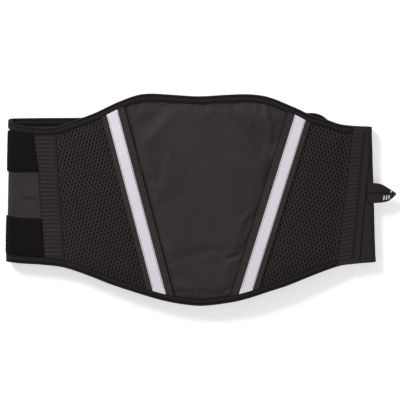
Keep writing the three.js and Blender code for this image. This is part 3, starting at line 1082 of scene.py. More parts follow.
@dataclass(frozen=True)
class Pile(Finish):
    """Short loops or brushed hairs."""

    tuft: float = 0.9
    depth: float = 0.35

    def paint(self, ink: Ink) -> bpy.types.Material:
        """Tufts are noise at two sizes, with a painted highlight at their tips and painted shade
        between them.

        Args:
            ink: The empty material.

        Returns:
            The material.
        """
        tuft = ink.grain(self.tuft, 4.0) * 0.7 + ink.grain(self.tuft * 3.5, 2.0) * 0.3
        # Painted shade low between the tufts and a painted highlight at their tips.
        colour = ink.blend(shade(self.colour, 0.45), shade(self.colour, 1.6), tuft)
        return self.finish(ink, colour, tuft, self.depth)


NYLON = Woven("charcoal_nylon", "nylon", (0.034, 0.029, 0.030), 0.68, 0.09, 0.12)
SPACER = Knit("spacer_mesh", "mesh", (0.021, 0.0175, 0.018))
ELASTIC = Ribbed("ribbed_elastic", "elastic", (0.031, 0.025, 0.0245), pitch=0.9, depth=0.1)
GROSGRAIN = Ribbed(
    "grosgrain_tape", "webbing", (0.042, 0.035, 0.0335),
    pitch=0.7, depth=0.05, light=1.65, dark=0.25,
)
SILVER = Beaded("reflective_silver", "reflective", (0.77, 0.735, 0.80), 0.4, 0.3)
BINDING = Ribbed(
    "folded_binding", "ribbon", (0.0152, 0.0125, 0.0134), 0.7, 0.05,
    pitch=0.8, depth=0.05, light=1.35, dark=0.25,
)
LOOPS = Pile("black_loops", "loop_pile", (0.0088, 0.0077, 0.008), 0.95, 0.01)
BRUSHED = Pile(
    "brushed_velour", "velour", (0.0275, 0.024, 0.0252), 0.95, 0.01,
    tuft=0.5, depth=0.12,
)
HOOKS = Finish("black_hooks", "hook", (0.010, 0.010, 0.010), 0.6, 0.2)
DARK_THREAD = Finish("dark_thread", "ribbon", (0.012, 0.010, 0.010), 0.7)
TAB_RIBBON = Ribbed("tab_ribbon", "ribbon", (0.021, 0.0175, 0.019), 0.7, pitch=0.7, depth=0.06)
TAB_WHITE = Finish("tab_white_thread", "ribbon", (0.62, 0.60, 0.60), 0.7)
TAB_RED = Finish("tab_red_end", "ribbon", (0.20, 0.04, 0.055), 0.6)


# The centre panel


@dataclass(frozen=True)
class Fold:
    """A soft fold or crease: from one end to the other, its half width and its height."""

    start: tuple
    end: tuple
    width: float
    height: float

    def relief(self, s: Array, y: Array) -> Array:
        """A bell across its line, which fades in and out at both ends.

        Args:
            s: Places along the belt.
            y: Their heights.

        Returns:
            How far the cloth stands out at each of them.
        """
        way = np.subtract(self.end, self.start)
        length = float(np.hypot(*way))
        along = ((s - self.start[0]) * way[0] + (y - self.start[1]) * way[1]) / length**2
        aside = ((s - self.start[0]) * way[1] - (y - self.start[1]) * way[0]) / length
        fade = smooth((along + 0.15) / 0.4) * smooth((1.15 - along) / 0.4)
        return self.height * bell(aside, self.width) * fade


@dataclass(frozen=True)
class CentrePanel:
    """Smooth nylon over soft padding, between the two slanted tapes."""

    swell: float = 2.3
    inner_swell: float = 2.0
    ramp: float = 15.0
    width: float = 170.0
    height: float = 245.0
    step: float = 1.6
    cloth_step: float = 3.2
    depth: float = 1.9  # how much deeper than they are listed the folds are
    slack: float = 0.012  # extra cloth, as a share of its size
    frames: int = 20  # of the simulation
    cap: float = 1.1  # furthest that the simulation may move a point
    folds: tuple = (
        Fold((-89, 80), (-50, 109), 7.5, -0.75),
        Fold((-79, 64), (-38, 103), 8.0, 0.75),
        Fold((-3, 86), (3, 113), 6.0, 0.35),
        Fold((6, 113), (12, 103), 3.0, 0.45),
        Fold((44, 112), (59, 86), 6.0, 1.2),
        Fold((72, 110), (86, 68), 4.5, 1.4),
        Fold((84, 84), (88, 56), 2.6, -0.9),
        Fold((44, 97), (84, 56), 10.0, -1.6),
        Fold((36, 51), (76, 20), 8.0, 1.1),
        Fold((62, 118), (65, 104), 2.4, 0.9),
        Fold((68, 115), (73, 102), 2.2, -0.8),
        Fold((75, 112), (80, 98), 2.6, 0.9),
        Fold((27, -78), (47, -72), 2.2, -0.9),
        Fold((25, -83), (49, -77), 4.0, 0.4),
        Fold((-42, -80), (20, -63), 8.0, -0.8),
        Fold((-52, -83), (-41, -86), 2.0, -0.5),
        Fold((-13, -121), (-4, -128), 2.6, 0.6),
        Fold((-22, -112), (-14, -127), 3.2, 0.4),
        Fold((-66, -15), (-40, 30), 8.0, 0.35),
        Fold((60, -10), (38, -48), 8.0, 0.35),
    )

    def edges(self) -> tuple[Line, Line, Line, Line]:
        """Its left, right, lower and upper edges.

        Returns:
            The four lines.
        """
        left = PATTERN.seam(PATTERN.left_tape_seam, PATTERN.gap / 2)
        right = PATTERN.seam(PATTERN.right_tape_seam, -PATTERN.gap / 2)
        tuck = PATTERN.binding_tuck
        return left, right, PATTERN.edge(Rim.BOTTOM, tuck), PATTERN.edge(Rim.TOP, tuck)

    def patch(self, step: float) -> Patch:
        """Its grid, with cells of about that many millimetres.

        Args:
            step: Size of a cell.

        Returns:
            The grid.
        """
        left, right, low, high = self.edges()
        across, up = columns(round(self.width / step)), rows(round(self.height / step))
        return PATTERN.patch([left, right], across, low, high, up)

    def distances(self, patch: Patch) -> Array:
        """Distances of each point from the two tapes and the two bindings.

        Args:
            patch: Grid of the panel.

        Returns:
            Four arrays, those from the tapes first.
        """
        left, right, _, _ = self.edges()
        tape = PATTERN.tape_inner + PATTERN.gap
        return PATTERN.inside(patch, left(patch.y) + tape, right(patch.y) - tape)

    def pucker(self, patch: Patch, distances: Array) -> Array:
        """Small gathers beside the bindings: noise along the edge that dies away inwards.

        Args:
            patch: Grid of the panel.
            distances: Distances of its points from the tapes and bindings.

        Returns:
            How far the cloth stands out at each point.
        """
        near = np.minimum(distances[2], distances[3])
        wave = waves(patch.s, 0 * patch.s, (0.6, 4.5, 11), (0.36, 9.0, 12))
        return wave * np.exp(-np.maximum(near, 0) / 10.0) * smooth(near / 2.0)

    def outer(self, patch: Patch) -> Array:
        """Height of its outer face before the cloth settles.

        Args:
            patch: Grid of the panel.

        Returns:
            Distance outwards at each point.
        """
        distances = self.distances(patch)
        full = smooth(distances / self.ramp).prod(axis=0)
        free = smooth(distances / 4.0).prod(axis=0)
        relief = sum(fold.relief(patch.s, patch.y) for fold in self.folds)
        cloud = waves(patch.s, patch.y, (0.6, 34.0, 3), (0.4, 17.0, 4))
        height = PATTERN.edge_thickness / 2 + self.swell * full
        return height + free * (self.depth * relief + cloud) + self.pucker(patch, distances)

    def settled(self, patch: Patch) -> Array:
        """What a cloth simulation adds to the height of its outer face.

        A coarse grid of the outer face, held at its rim, gets a little more cloth than it
        needs and settles. Its rise is capped and read off between grid points.

        Args:
            patch: The fine grid that wants the heights.

        Returns:
            Heights to add at each point of the grid.
        """
        coarse = self.patch(self.cloth_step)
        start = PATTERN.place(coarse.s, coarse.y, self.outer(coarse))
        mesh = bpy.data.meshes.new("settling")
        quads = grid_quads(*coarse.s.shape)
        mesh.from_pydata(start.reshape(-1, 3).tolist(), [], quads.tolist())
        piece = bpy.data.objects.new("settling", mesh)
        bpy.context.scene.collection.objects.link(piece)
        held = piece.vertex_groups.new(name="held")
        rim = np.flatnonzero(self.distances(coarse).min(axis=0).ravel() < 0.5)
        held.add(rim.tolist(), 1.0, "REPLACE")
        cloth = piece.modifiers.new("cloth", "CLOTH")
        cloth.settings.quality = 6
        cloth.settings.mass = 0.15
        cloth.settings.tension_stiffness = 12
        cloth.settings.compression_stiffness = 12
        cloth.settings.bending_stiffness = 0.06
        cloth.settings.vertex_group_mass = "held"
        cloth.settings.shrink_min = -self.slack
        cloth.settings.use_pressure = True
        cloth.settings.uniform_pressure_force = 0.15
        cloth.settings.effector_weights.gravity = 0
        cloth.point_cache.frame_end = self.frames
        scene = bpy.context.scene
        for number in range(1, self.frames + 1):
            scene.frame_set(number)
        shown = piece.evaluated_get(bpy.context.evaluated_depsgraph_get())
        end = np.empty(coarse.s.size * 3, np.float32)
        shown.data.vertices.foreach_get("co", end)
        scene.frame_set(1)
        bpy.data.objects.remove(piece)
        bpy.data.meshes.remove(mesh)
        rise = (end.reshape(*coarse.s.shape, 3) - start)[..., 2] / MM
        rise = np.clip(rise, -self.cap, self.cap)
        LOG.info("centre cloth settled by %.2f to %.2f mm", rise.min(), rise.max())
        return self.spread(rise, patch.s.shape)

    @staticmethod
    def spread(values: Array, shape: tuple) -> Array:
        """Values of a coarse grid, read between its points for a finer one of that shape.

        Args:
            values: Values of the coarse grid.
            shape: How many points the finer one has each way.

        Returns:
            Values of the finer grid.
        """
        u = np.linspace(0, values.shape[0] - 1, shape[0])
        v = np.linspace(0, values.shape[1] - 1, shape[1])
        i = np.minimum(u.astype(int), values.shape[0] - 2)[:, None]
        j = np.minimum(v.astype(int), values.shape[1] - 2)[None, :]
        fu, fv = u[:, None] - i, v[None, :] - j
        low = values[i, j] * (1 - fu) + values[i + 1, j] * fu
        high = values[i, j + 1] * (1 - fu) + values[i + 1, j + 1] * fu
        return low * (1 - fv) + high * fv

    def build(self) -> None:
        """The panel, with painted shade in the narrow channel along each tape and binding."""
        patch = self.patch(self.step)
        distances = self.distances(patch)
        full = smooth(distances / self.ramp).prod(axis=0)
        inner = -PATTERN.edge_thickness / 2 - self.inner_swell * full
        # Painted shade: the mark darkens the nylon beside the tapes and, more weakly, beside the
        # bindings.
        channel = bell(distances[:2].min(axis=0) - 0.6, 1.3)
        channel = channel + 0.6 * bell(distances[2:].min(axis=0), 1.2)
        body = Body()
        body.shell(patch, self.outer(patch) + self.settled(patch), inner, np.clip(channel, 0, 1))
        panel = body.build("centre_panel_cloth", NYLON, ["centre_panel"])


# The mesh panels


@dataclass(frozen=True)
class MeshPanel:
    """Spacer mesh with slanted columns of staggered holes, over soft padding."""

    side: Side
    width: float = 92.0
    height: float = 212.0
    swell: float = 1.7
    inner_swell: float = 2.0
    ramp: float = 15.0
    step: float = 0.62
    column_pitch: float = 4.1
    hole_pitch: float = 5.3
    hole_length: float = 2.85
    hole_width: float = 1.7
    hole_depth: float = 0.8
    thread_rise: float = 0.3
    lean: float = 14.0  # of the columns, in degrees
    seam_flat: float = 4.0
    inner_step: int = 4

    def edges(self) -> tuple[Line, Line, float, float]:
        """Its left and right edges, and how far the cloth lies flat beside each.

        Returns:
            The two lines, and the two widths.
        """
        half = PATTERN.gap / 2
        tape = PATTERN.tape_outer + PATTERN.gap
        if self.side is Side.LEFT:
            left = PATTERN.seam(PATTERN.left_elastic_seam, half)
            return left, PATTERN.seam(PATTERN.left_tape_seam, -half), self.seam_flat, tape
        left = PATTERN.seam(PATTERN.right_tape_seam, half)
        return left, PATTERN.seam(PATTERN.right_elastic_seam, -half), tape, self.seam_flat

    def lattice(self, s: Array, y: Array) -> tuple[Array, Array]:
        """Holes and threads of the knit.

        Columns lean by the lean angle. p runs along them and q across, and every other column
        is moved by half a pitch. A hole is a lozenge round each lattice point: its distance is
        the size of p / length plus the size of q / width, and threads cross where that is
        largest.

        Args:
            s: Places along the belt.
            y: Heights up the belt.

        Returns:
            How deep in a hole each point is, and how high on a thread, from 0 to 1.
        """
        lean = math.radians(self.lean) * -self.side.value
        bend = 1.2 * noise(s, y, 40.0, 21)
        p = s * math.sin(lean) + y * math.cos(lean)
        q = s * math.cos(lean) - y * math.sin(lean) + bend
        column = np.round(q / self.column_pitch)
        off_q = q - column * self.column_pitch
        step = p / self.hole_pitch - 0.5 * (column % 2)
        off_p = (step - np.round(step)) * self.hole_pitch
        lens = np.abs(off_p) / self.hole_length + np.abs(off_q) / self.hole_width
        hole = smooth((1.0 - lens) / 0.6)
        thread = smooth((lens - 0.95) / 0.4)
        return hole, thread

    def build(self) -> None:
        """The panel: its outer face follows the knit, its inner face is plain."""
        left, right, left_flat, right_flat = self.edges()
        tuck = PATTERN.binding_tuck
        coarse = self.step * self.inner_step
        across, up = (self.inner_step * round(size / coarse) for size in (self.width, self.height))
        low, high = PATTERN.edge(Rim.BOTTOM, tuck), PATTERN.edge(Rim.TOP, tuck)
        patch = PATTERN.patch([left, right], columns(across), low, high, rows(up))
        sides = left(patch.y) + left_flat, right(patch.y) - right_flat
        distances = PATTERN.inside(patch, *sides)
        full = smooth(distances / self.ramp).prod(axis=0)
        hole, thread = self.lattice(patch.s, patch.y)
        wave = waves(patch.s, patch.y, (0.35, 26.0, 31), (0.3, 60.0, 32))
        outer = PATTERN.edge_thickness / 2 + self.swell * full + full * wave
        free = smooth((distances.min(axis=0) + 2.0) / 2.0)
        outer = outer + free * (self.thread_rise * thread - self.hole_depth * hole)
        inner = -PATTERN.edge_thickness / 2 - self.inner_swell * full
        body = Body()
        # The mark paints shade in the holes and a highlight on the raised threads.
        body.shell(patch, outer, inner, hole - 0.8 * thread * (1 - hole), step=self.inner_step)
        name = f"mesh_panel_{self.side.name.lower()}"
        panel = body.build(f"{name}_knit", SPACER, [name], sharp=80)


# The elastic panels


@dataclass(frozen=True)
class ElasticPanel:
    """Elastic with horizontal ribs, between the back and a wing."""

    side: Side
    left_pitch: float = 5.0  # between ribs
    right_pitch: float = 4.85
    fine_pitch: float = 2.9  # of the right panel's narrow column
    width: float = 26.0
    height: float = 172.0
    relief: float = 0.75
    step: float = 0.5
    inner_step: int = 4
    thread_zone: float = 4.2  # plain vertical threads beside the left mesh panel
    slant: float = 0.22  # of the right panel's ribs, up towards its groove
    groove: float = 8.2  # from the right panel's wing seam to the groove between its columns
    hem: float = 6.0

    def edges(self) -> tuple[Line, Line]:
        """Its left and right edges.

        Returns:
            The two lines.
        """
        half = PATTERN.gap / 2
        if self.side is Side.LEFT:
            pair = (PATTERN.left_wing_seam, PATTERN.left_elastic_seam)
        else:
            pair = (PATTERN.right_elastic_seam, PATTERN.right_wing_seam)
        return PATTERN.seam(pair[0], half), PATTERN.seam(pair[1], -half)

    def ribs(self, s: Array, y: Array, left: Array, right: Array) -> tuple[Array, Array]:
        """Relief of the ribs and how deep in a groove each point is.

        Each rib is the square root of the size of a sine up the cloth. On the left the ribs
        sag a little at their ends. On the right they slant up to a groove, and finer ones
        slant down from it in a narrow column.

        Args:
            s: Places along the belt.
            y: Heights up the belt.
            left: Place of the panel's left edge at each point's height.
            right: The same for its right edge.

        Returns:
            The relief in millimetres, and the depth of groove from 0 to 1.
        """
        share = (s - left) / (right - left)
        wobble = waves(s, y, (0.35, 12.0, 41), (0.2, 30.0, 42))
        if self.side is Side.LEFT:
            arch = 0.9 * (2 * share - 0.9) ** 2
            turn = (y + arch + wobble) / self.left_pitch
            plain = smooth((s - (right - self.thread_zone)) / 0.8)
            split = np.zeros_like(s)
        else:
            from_groove = s - (right - self.groove)
            slant = self.slant * (0.4 + 0.6 * smooth((40 - y) / 90))
            wide = (y - slant * from_groove + wobble) / self.right_pitch
            fine = (y + 3 * slant * from_groove + wobble) / self.fine_pitch
            turn = np.where(from_groove < 0, wide, fine)
            plain = np.zeros_like(s)
            split = bell(from_groove, 2.1)
        crest = np.sqrt(np.abs(np.sin(math.pi * turn)))
        threads = 0.5 + 0.5 * np.cos(2 * math.pi * (s - right) / 1.15)
        relief = (1 - plain) * crest * self.relief + plain * (0.3 + 0.3 * threads) * self.relief
        relief = relief + 0.12 * threads * (1 - plain)
        between = 1 - threads
        groove = (1 - plain) * (1 - crest + 0.34 * between) + plain * (0.45 + 0.4 * between)
        return relief * (1 - split), np.clip(groove + 0.8 * split, 0, 1)

    def build(self) -> None:
        """The panel. Its two ends lie flat, in the bindings or as sewn hems."""
        left, right = self.edges()
        bound = self.side is Side.LEFT
        tuck = PATTERN.binding_tuck if bound else 0.0
        flat = PATTERN.beside_binding if bound else self.hem
        low, high = PATTERN.edge(Rim.BOTTOM, tuck), PATTERN.edge(Rim.TOP, tuck)
        coarse = self.step * self.inner_step
        across, up = (self.inner_step * round(size / coarse) for size in (self.width, self.height))
        patch = PATTERN.patch([left, right], columns(across), low, high, rows(up))
        relief, groove = self.ribs(patch.s, patch.y, left(patch.y), right(patch.y))
        inside, rim = (
            np.minimum(
                PATTERN.edge(Rim.TOP, inset)(patch.s) - patch.y,
                patch.y - PATTERN.edge(Rim.BOTTOM, inset)(patch.s),
            )
            for inset in (flat, tuck)
        )
        free = smooth(inside / 1.2 + 0.5)
        half = PATTERN.edge_thickness / 2
        hem = 0.0 if bound else 0.45 * (1 - free)
        rounded = rounding(rim, 1.0)
        outer = (half + hem) * rounded + free * relief
        seams = bell(patch.s - left(patch.y), 0.9) + bell(right(patch.y) - patch.s, 0.9)
        # The mark paints shade in the grooves between the ribs, and also darkens the flat ends and the
        # side seams.
        mark = np.clip(free * groove + (1 - free) * 0.35 + seams, 0, 1)
        body = Body()
        body.shell(patch, outer, -half * rounded, mark, self.inner_step)
        name = f"elastic_panel_{self.side.name.lower()}"
        panel = body.build(f"{name}_ribs", ELASTIC, [name], sharp=80)


# Seam tapes and reflective strips


@dataclass(frozen=True)
class SeamTape:
    """A grosgrain tape over a slanted seam, and the reflective strip sewn along it."""

    side: Side
    thickness: float = 1.0
    strip_width: float = 14.6
    strip_thickness: float = 0.6
    rib_pitch: float = 2.4
    rib_relief: float = 0.3
    stitch_inset: float = 1.1
    thread: Thread = Thread(2.8, 1.9, 0.34)

    def seam(self) -> Seam:
        """The seam that it covers."""
        return PATTERN.left_tape_seam if self.side is Side.LEFT else PATTERN.right_tape_seam

    def band(self, start: float, end: float, across: int, up: int) -> Patch:
        """Grid of a band along the seam, between two distances from it.

        Args:
            start: The distance of its left edge.
            end: The distance of its right edge.
            across: Cells across it.
            up: Cells up it.

        Returns:
            The grid.
        """
        left = PATTERN.seam(self.seam(), start)
        right = PATTERN.seam(self.seam(), end)
        inset = PATTERN.binding_width - 1.0
        low, high = PATTERN.edge(Rim.BOTTOM, inset), PATTERN.edge(Rim.TOP, inset)
        return PATTERN.patch([left, right], columns(across), low, high, rows(up))

    def aside(self, patch: Patch) -> Array:
        """Distance of each point from the seam, square to it."""
        seam = self.seam()
        return (patch.s - PATTERN.seam(seam)(patch.y)) / math.hypot(1, seam.lean)

    def build(self) -> None:
        """The tape with its ribs, the strip and two rows of stitches."""
        side = self.side.name.lower()
        base = PATTERN.edge_thickness / 2 + PATTERN.gap
        seam = self.seam()
        reach = (PATTERN.tape_outer, PATTERN.tape_inner)[:: -self.side.value]
        tape = self.band(-reach[0], reach[1], 32, 720)
        aside = self.aside(tape)
        along = (tape.y + seam.lean * tape.s) / math.hypot(1, seam.lean)
        rib = 0.5 + 0.5 * np.cos(2 * math.pi * along / self.rib_pitch)
        inside = np.minimum(aside + reach[0], reach[1] - aside)
        edge = np.clip(inside / 0.9, 0, 1)
        wave = waves(along, 0 * along, (0.14, 9.0, 51), (0.08, 23.0, 52))
        outer = base + self.thickness * (0.35 + 0.65 * rounding(inside, 0.9))
        outer = outer + self.rib_relief * rib * edge + wave
        body = Body()
        # The mark paints shade in the troughs between the ribs and along the tape's rounded edges.
        edge_shade = 0.9 * bell(inside - 0.2, 0.8)
        body.shell(tape, outer, base - 0.4, np.clip((1 - rib) + edge_shade, 0, 1), step=4)
        body.build(f"seam_tape_{side}_ribs", GROSGRAIN, [f"seam_tape_{side}"])

        top = base + self.thickness + PATTERN.gap
        strip = self.band(-self.strip_width / 2, self.strip_width / 2, 16, 240)
        aside = self.aside(strip)
        along = (strip.y + seam.lean * strip.s) / math.hypot(1, seam.lean)
        wave = 0.12 * noise(along, aside, 9.0, 53) + 0.14 * noise(along, 0 * along, 23.0, 54)
        inside = self.strip_width / 2 - np.abs(aside)
        outer = top + self.strip_thickness * (0.4 + 0.6 * rounding(inside, 0.5)) + wave
        sewn = bell(inside - self.stitch_inset - 0.05, 0.35)
        body = Body()
        # The strip dips along its stitch lines, and the mark paints shade in the dip.
        body.shell(strip, outer - 0.12 * sewn, top - 0.3, 0.25 * sewn, step=4)
        body.build(f"reflective_strip_{side}_beads", SILVER, [f"reflective_strip_{side}"])

        body = Body()
        y = np.linspace(-115, 115, 240)
        for way in (-1, 1):
            s = PATTERN.seam(seam, way * (self.strip_width / 2 - self.stitch_inset))(y)
            inset = PATTERN.binding_width + 0.5
            low, high = PATTERN.edge(Rim.BOTTOM, inset)(s), PATTERN.edge(Rim.TOP, inset)(s)
            keep = (y > low) & (y < high)
            body.stitches(s[keep], y[keep], top + self.strip_thickness + 0.1, self.thread)
        body.build(f"reflective_strip_{side}_stitches", DARK_THREAD)


# Bindings


@dataclass(frozen=True)
class Path:
    """Stops along an edge: the rim's points and the way inwards from each."""

    s: Array
    y: Array
    in_s: Array
    in_y: Array
    start: Line | None = None
    end: Line | None = None
    skewed: int = 10  # stops over which a skewed end dies away

    def skew(self, y: Array) -> Array:
        """Moves along the belt that turn the first and last sections onto their seams.

        The move is the seam's place at each point's height less its place at the rim.

        Args:
            y: Heights of the sections' points, with a row for each section.

        Returns:
            The moves, in an array of the same shape.
        """
        stops = np.arange(len(self.s))
        moved = np.zeros(y.shape)
        for line, far in ((self.start, stops), (self.end, stops[::-1])):
            if line is not None:
                near = 1 - smooth(far / self.skewed)
                moved = moved + near[:, None] * (line(y) - line(self.y)[:, None])
        return moved


@dataclass(frozen=True)
class Binding:
    """A ribbon folded round an edge and sewn through, with grooves along it."""

    thickness: float = 1.1
    step: float = 1.3
    stitch_inset: float = 7.9
    seam_gap: float = 0.1  # from its ends to the seams that they follow
    thread: Thread = Thread(2.9, 2.1, 0.28)
    corner_steps: int = 16

    def profile(self, cloth: float) -> tuple[Array, Array, Array]:
        """The ribbon's closed section.

        From the rim the skin rises as a rolled lip, dips in a groove, runs flat to the
        stitches' groove and ends in a rounded border. The other side mirrors it.

        Args:
            cloth: Thickness of the cloth in it.

        Returns:
            Distances inwards, distances outwards, and how deep in a groove each point is, which the
            ribbon darkens as painted shade.
        """
        bed = cloth / 2 + 0.05
        skin = cloth / 2 + PATTERN.gap + self.thickness
        width = PATTERN.binding_width
        points = [
            (1.25, bed, 0), (width - 0.3, bed, 1), (width, bed + 0.25, 1),
            (width, skin - 0.45, 0.9), (width - 0.25, skin - 0.12, 0.3), (width - 0.7, skin, 0),
            (width - 1.1, skin - 0.05, 0.3), (width - 1.5, skin - 0.28, 1),
            (width - 1.9, skin - 0.05, 0.6), (width - 2.6, skin + 0.05, 0),
            (4.6, skin + 0.08, 0), (3.4, skin, 0.5), (2.7, skin - 0.28, 1), (2.1, skin - 0.02, 0.5),
            (1.3, skin + 0.05, -0.4), (0.6, skin - 0.18, -0.6), (0.15, skin - 0.75, -0.5),
            (0.0, skin - 1.5, 0),
        ]
        half = np.array(points)
        other = half[::-1] * (1, -1, 1)
        whole = np.r_[half, other]
        return whole[:, 0], whole[:, 1], whole[:, 2]

    def back_path(self, rim: Rim) -> Path:
        """Along the back, from the left wing's seam to the right elastic panel.

        Args:
            rim: The edge that it runs along.

        Returns:
            The path.
        """
        edge = PATTERN.edge(rim)
        first = PATTERN.seam(PATTERN.left_wing_seam, self.seam_gap)
        last = PATTERN.seam(PATTERN.right_elastic_seam, -self.seam_gap)
        start, end = self.meet(first, rim), self.meet(last, rim)
        s = np.linspace(start, end, round((end - start) / self.step))
        return Path(s, edge(s), 0 * s, PATTERN.edge(rim, 1.0)(s) - edge(s), first, last)

    @staticmethod
    def meet(line: Line, rim: Rim) -> float:
        """Place along the belt where a line across it meets its edge.

        Args:
            line: Place along the belt for a height.
            rim: The edge.

        Returns:
            That place.
        """
        s = 0.0
        for _ in range(8):
            s = float(line(PATTERN.edge(rim)(np.array(s))))
        return s

    def wing_path(self, rim: Rim) -> Path:
        """Along the left wing's long edge, round its corner to the middle of its end.

        Args:
            rim: The long edge that it starts on.

        Returns:
            The path.
        """
        edge, side = PATTERN.edge(rim), rim.value
        corner = PATTERN.left_wing_end - PATTERN.wing_corner
        end = 0.0
        for _ in range(8):
            end = float(PATTERN.left_under(corner, edge(np.array(end))))
        seam = PATTERN.seam(PATTERN.left_wing_seam, -self.seam_gap)
        start = self.meet(seam, rim)
        s = np.linspace(start, end, round((start - end) / self.step))
        y = edge(s)
        in_y = PATTERN.edge(rim, 1.0)(s) - y
        angle = np.linspace(0, math.pi / 2, self.corner_steps + 1)[1:]
        turn_s, turn_y = np.sin(angle), -side * np.cos(angle)
        round_y = y[-1] - side * PATTERN.wing_corner - PATTERN.wing_corner * turn_y
        round_s = PATTERN.left_under(corner + PATTERN.wing_corner * turn_s, round_y)
        middle = float(PATTERN.middle(PATTERN.left_under(PATTERN.left_wing_end, 0.0)))
        last_y = np.linspace(round_y[-1], middle + side * PATTERN.gap / 2, 40)[1:]
        last_s = PATTERN.left_under(PATTERN.left_wing_end, last_y)
        ones, none = np.ones_like(last_y), np.zeros_like(last_y)
        return Path(
            np.r_[s, round_s, last_s],
            np.r_[y, round_y, last_y],
            np.r_[0 * s, turn_s, ones],
            np.r_[in_y, turn_y, none],
            seam,
        )

    def build(self, name: str, path: Path, cloth: float) -> None:
        """The binding along a path, and its stitches on both faces.

        Args:
            name: Name of the CAD node that it stands for.
            path: Where it runs.
            cloth: Thickness of the cloth in it.
        """
        inwards, out, groove = self.profile(cloth)
        far = np.r_[0, np.cumsum(np.hypot(np.diff(path.s), np.diff(path.y)))]
        crinkle = 1 + waves(far, 0 * far, (0.05, 6.0, 61), (0.05, 19.0, 62))[:, None]
        narrow = 1 + 0.03 * noise(far, 0 * far, 14.0, 63)[:, None] * (inwards > 5)
        s = path.s[:, None] + narrow * inwards * path.in_s[:, None]
        y = path.y[:, None] + narrow * inwards * path.in_y[:, None]
        s = s + path.skew(y)
        skin = np.abs(out) > cloth / 2 + 0.1
        rings = PATTERN.place(s, y, np.where(skin, out * crinkle, out))
        uv = np.stack(np.broadcast_arrays(far[:, None], inwards * np.sign(out)), -1) * UV_SCALE
        body = Body()
        # The groove mark paints shade in the ribbon's grooves and along its inner border.
        body.tube(rings, uv, groove)
        body.build(f"{name}_ribbon", BINDING, [name])
        body = Body()
        level = cloth / 2 + PATTERN.gap + self.thickness - 0.12
        s = path.s + self.stitch_inset * path.in_s
        y = path.y + self.stitch_inset * path.in_y
        for face in (1, -1):
            body.stitches(s, y, face * level, self.thread)
        body.build(f"{name}_stitches", DARK_THREAD)


# Wings


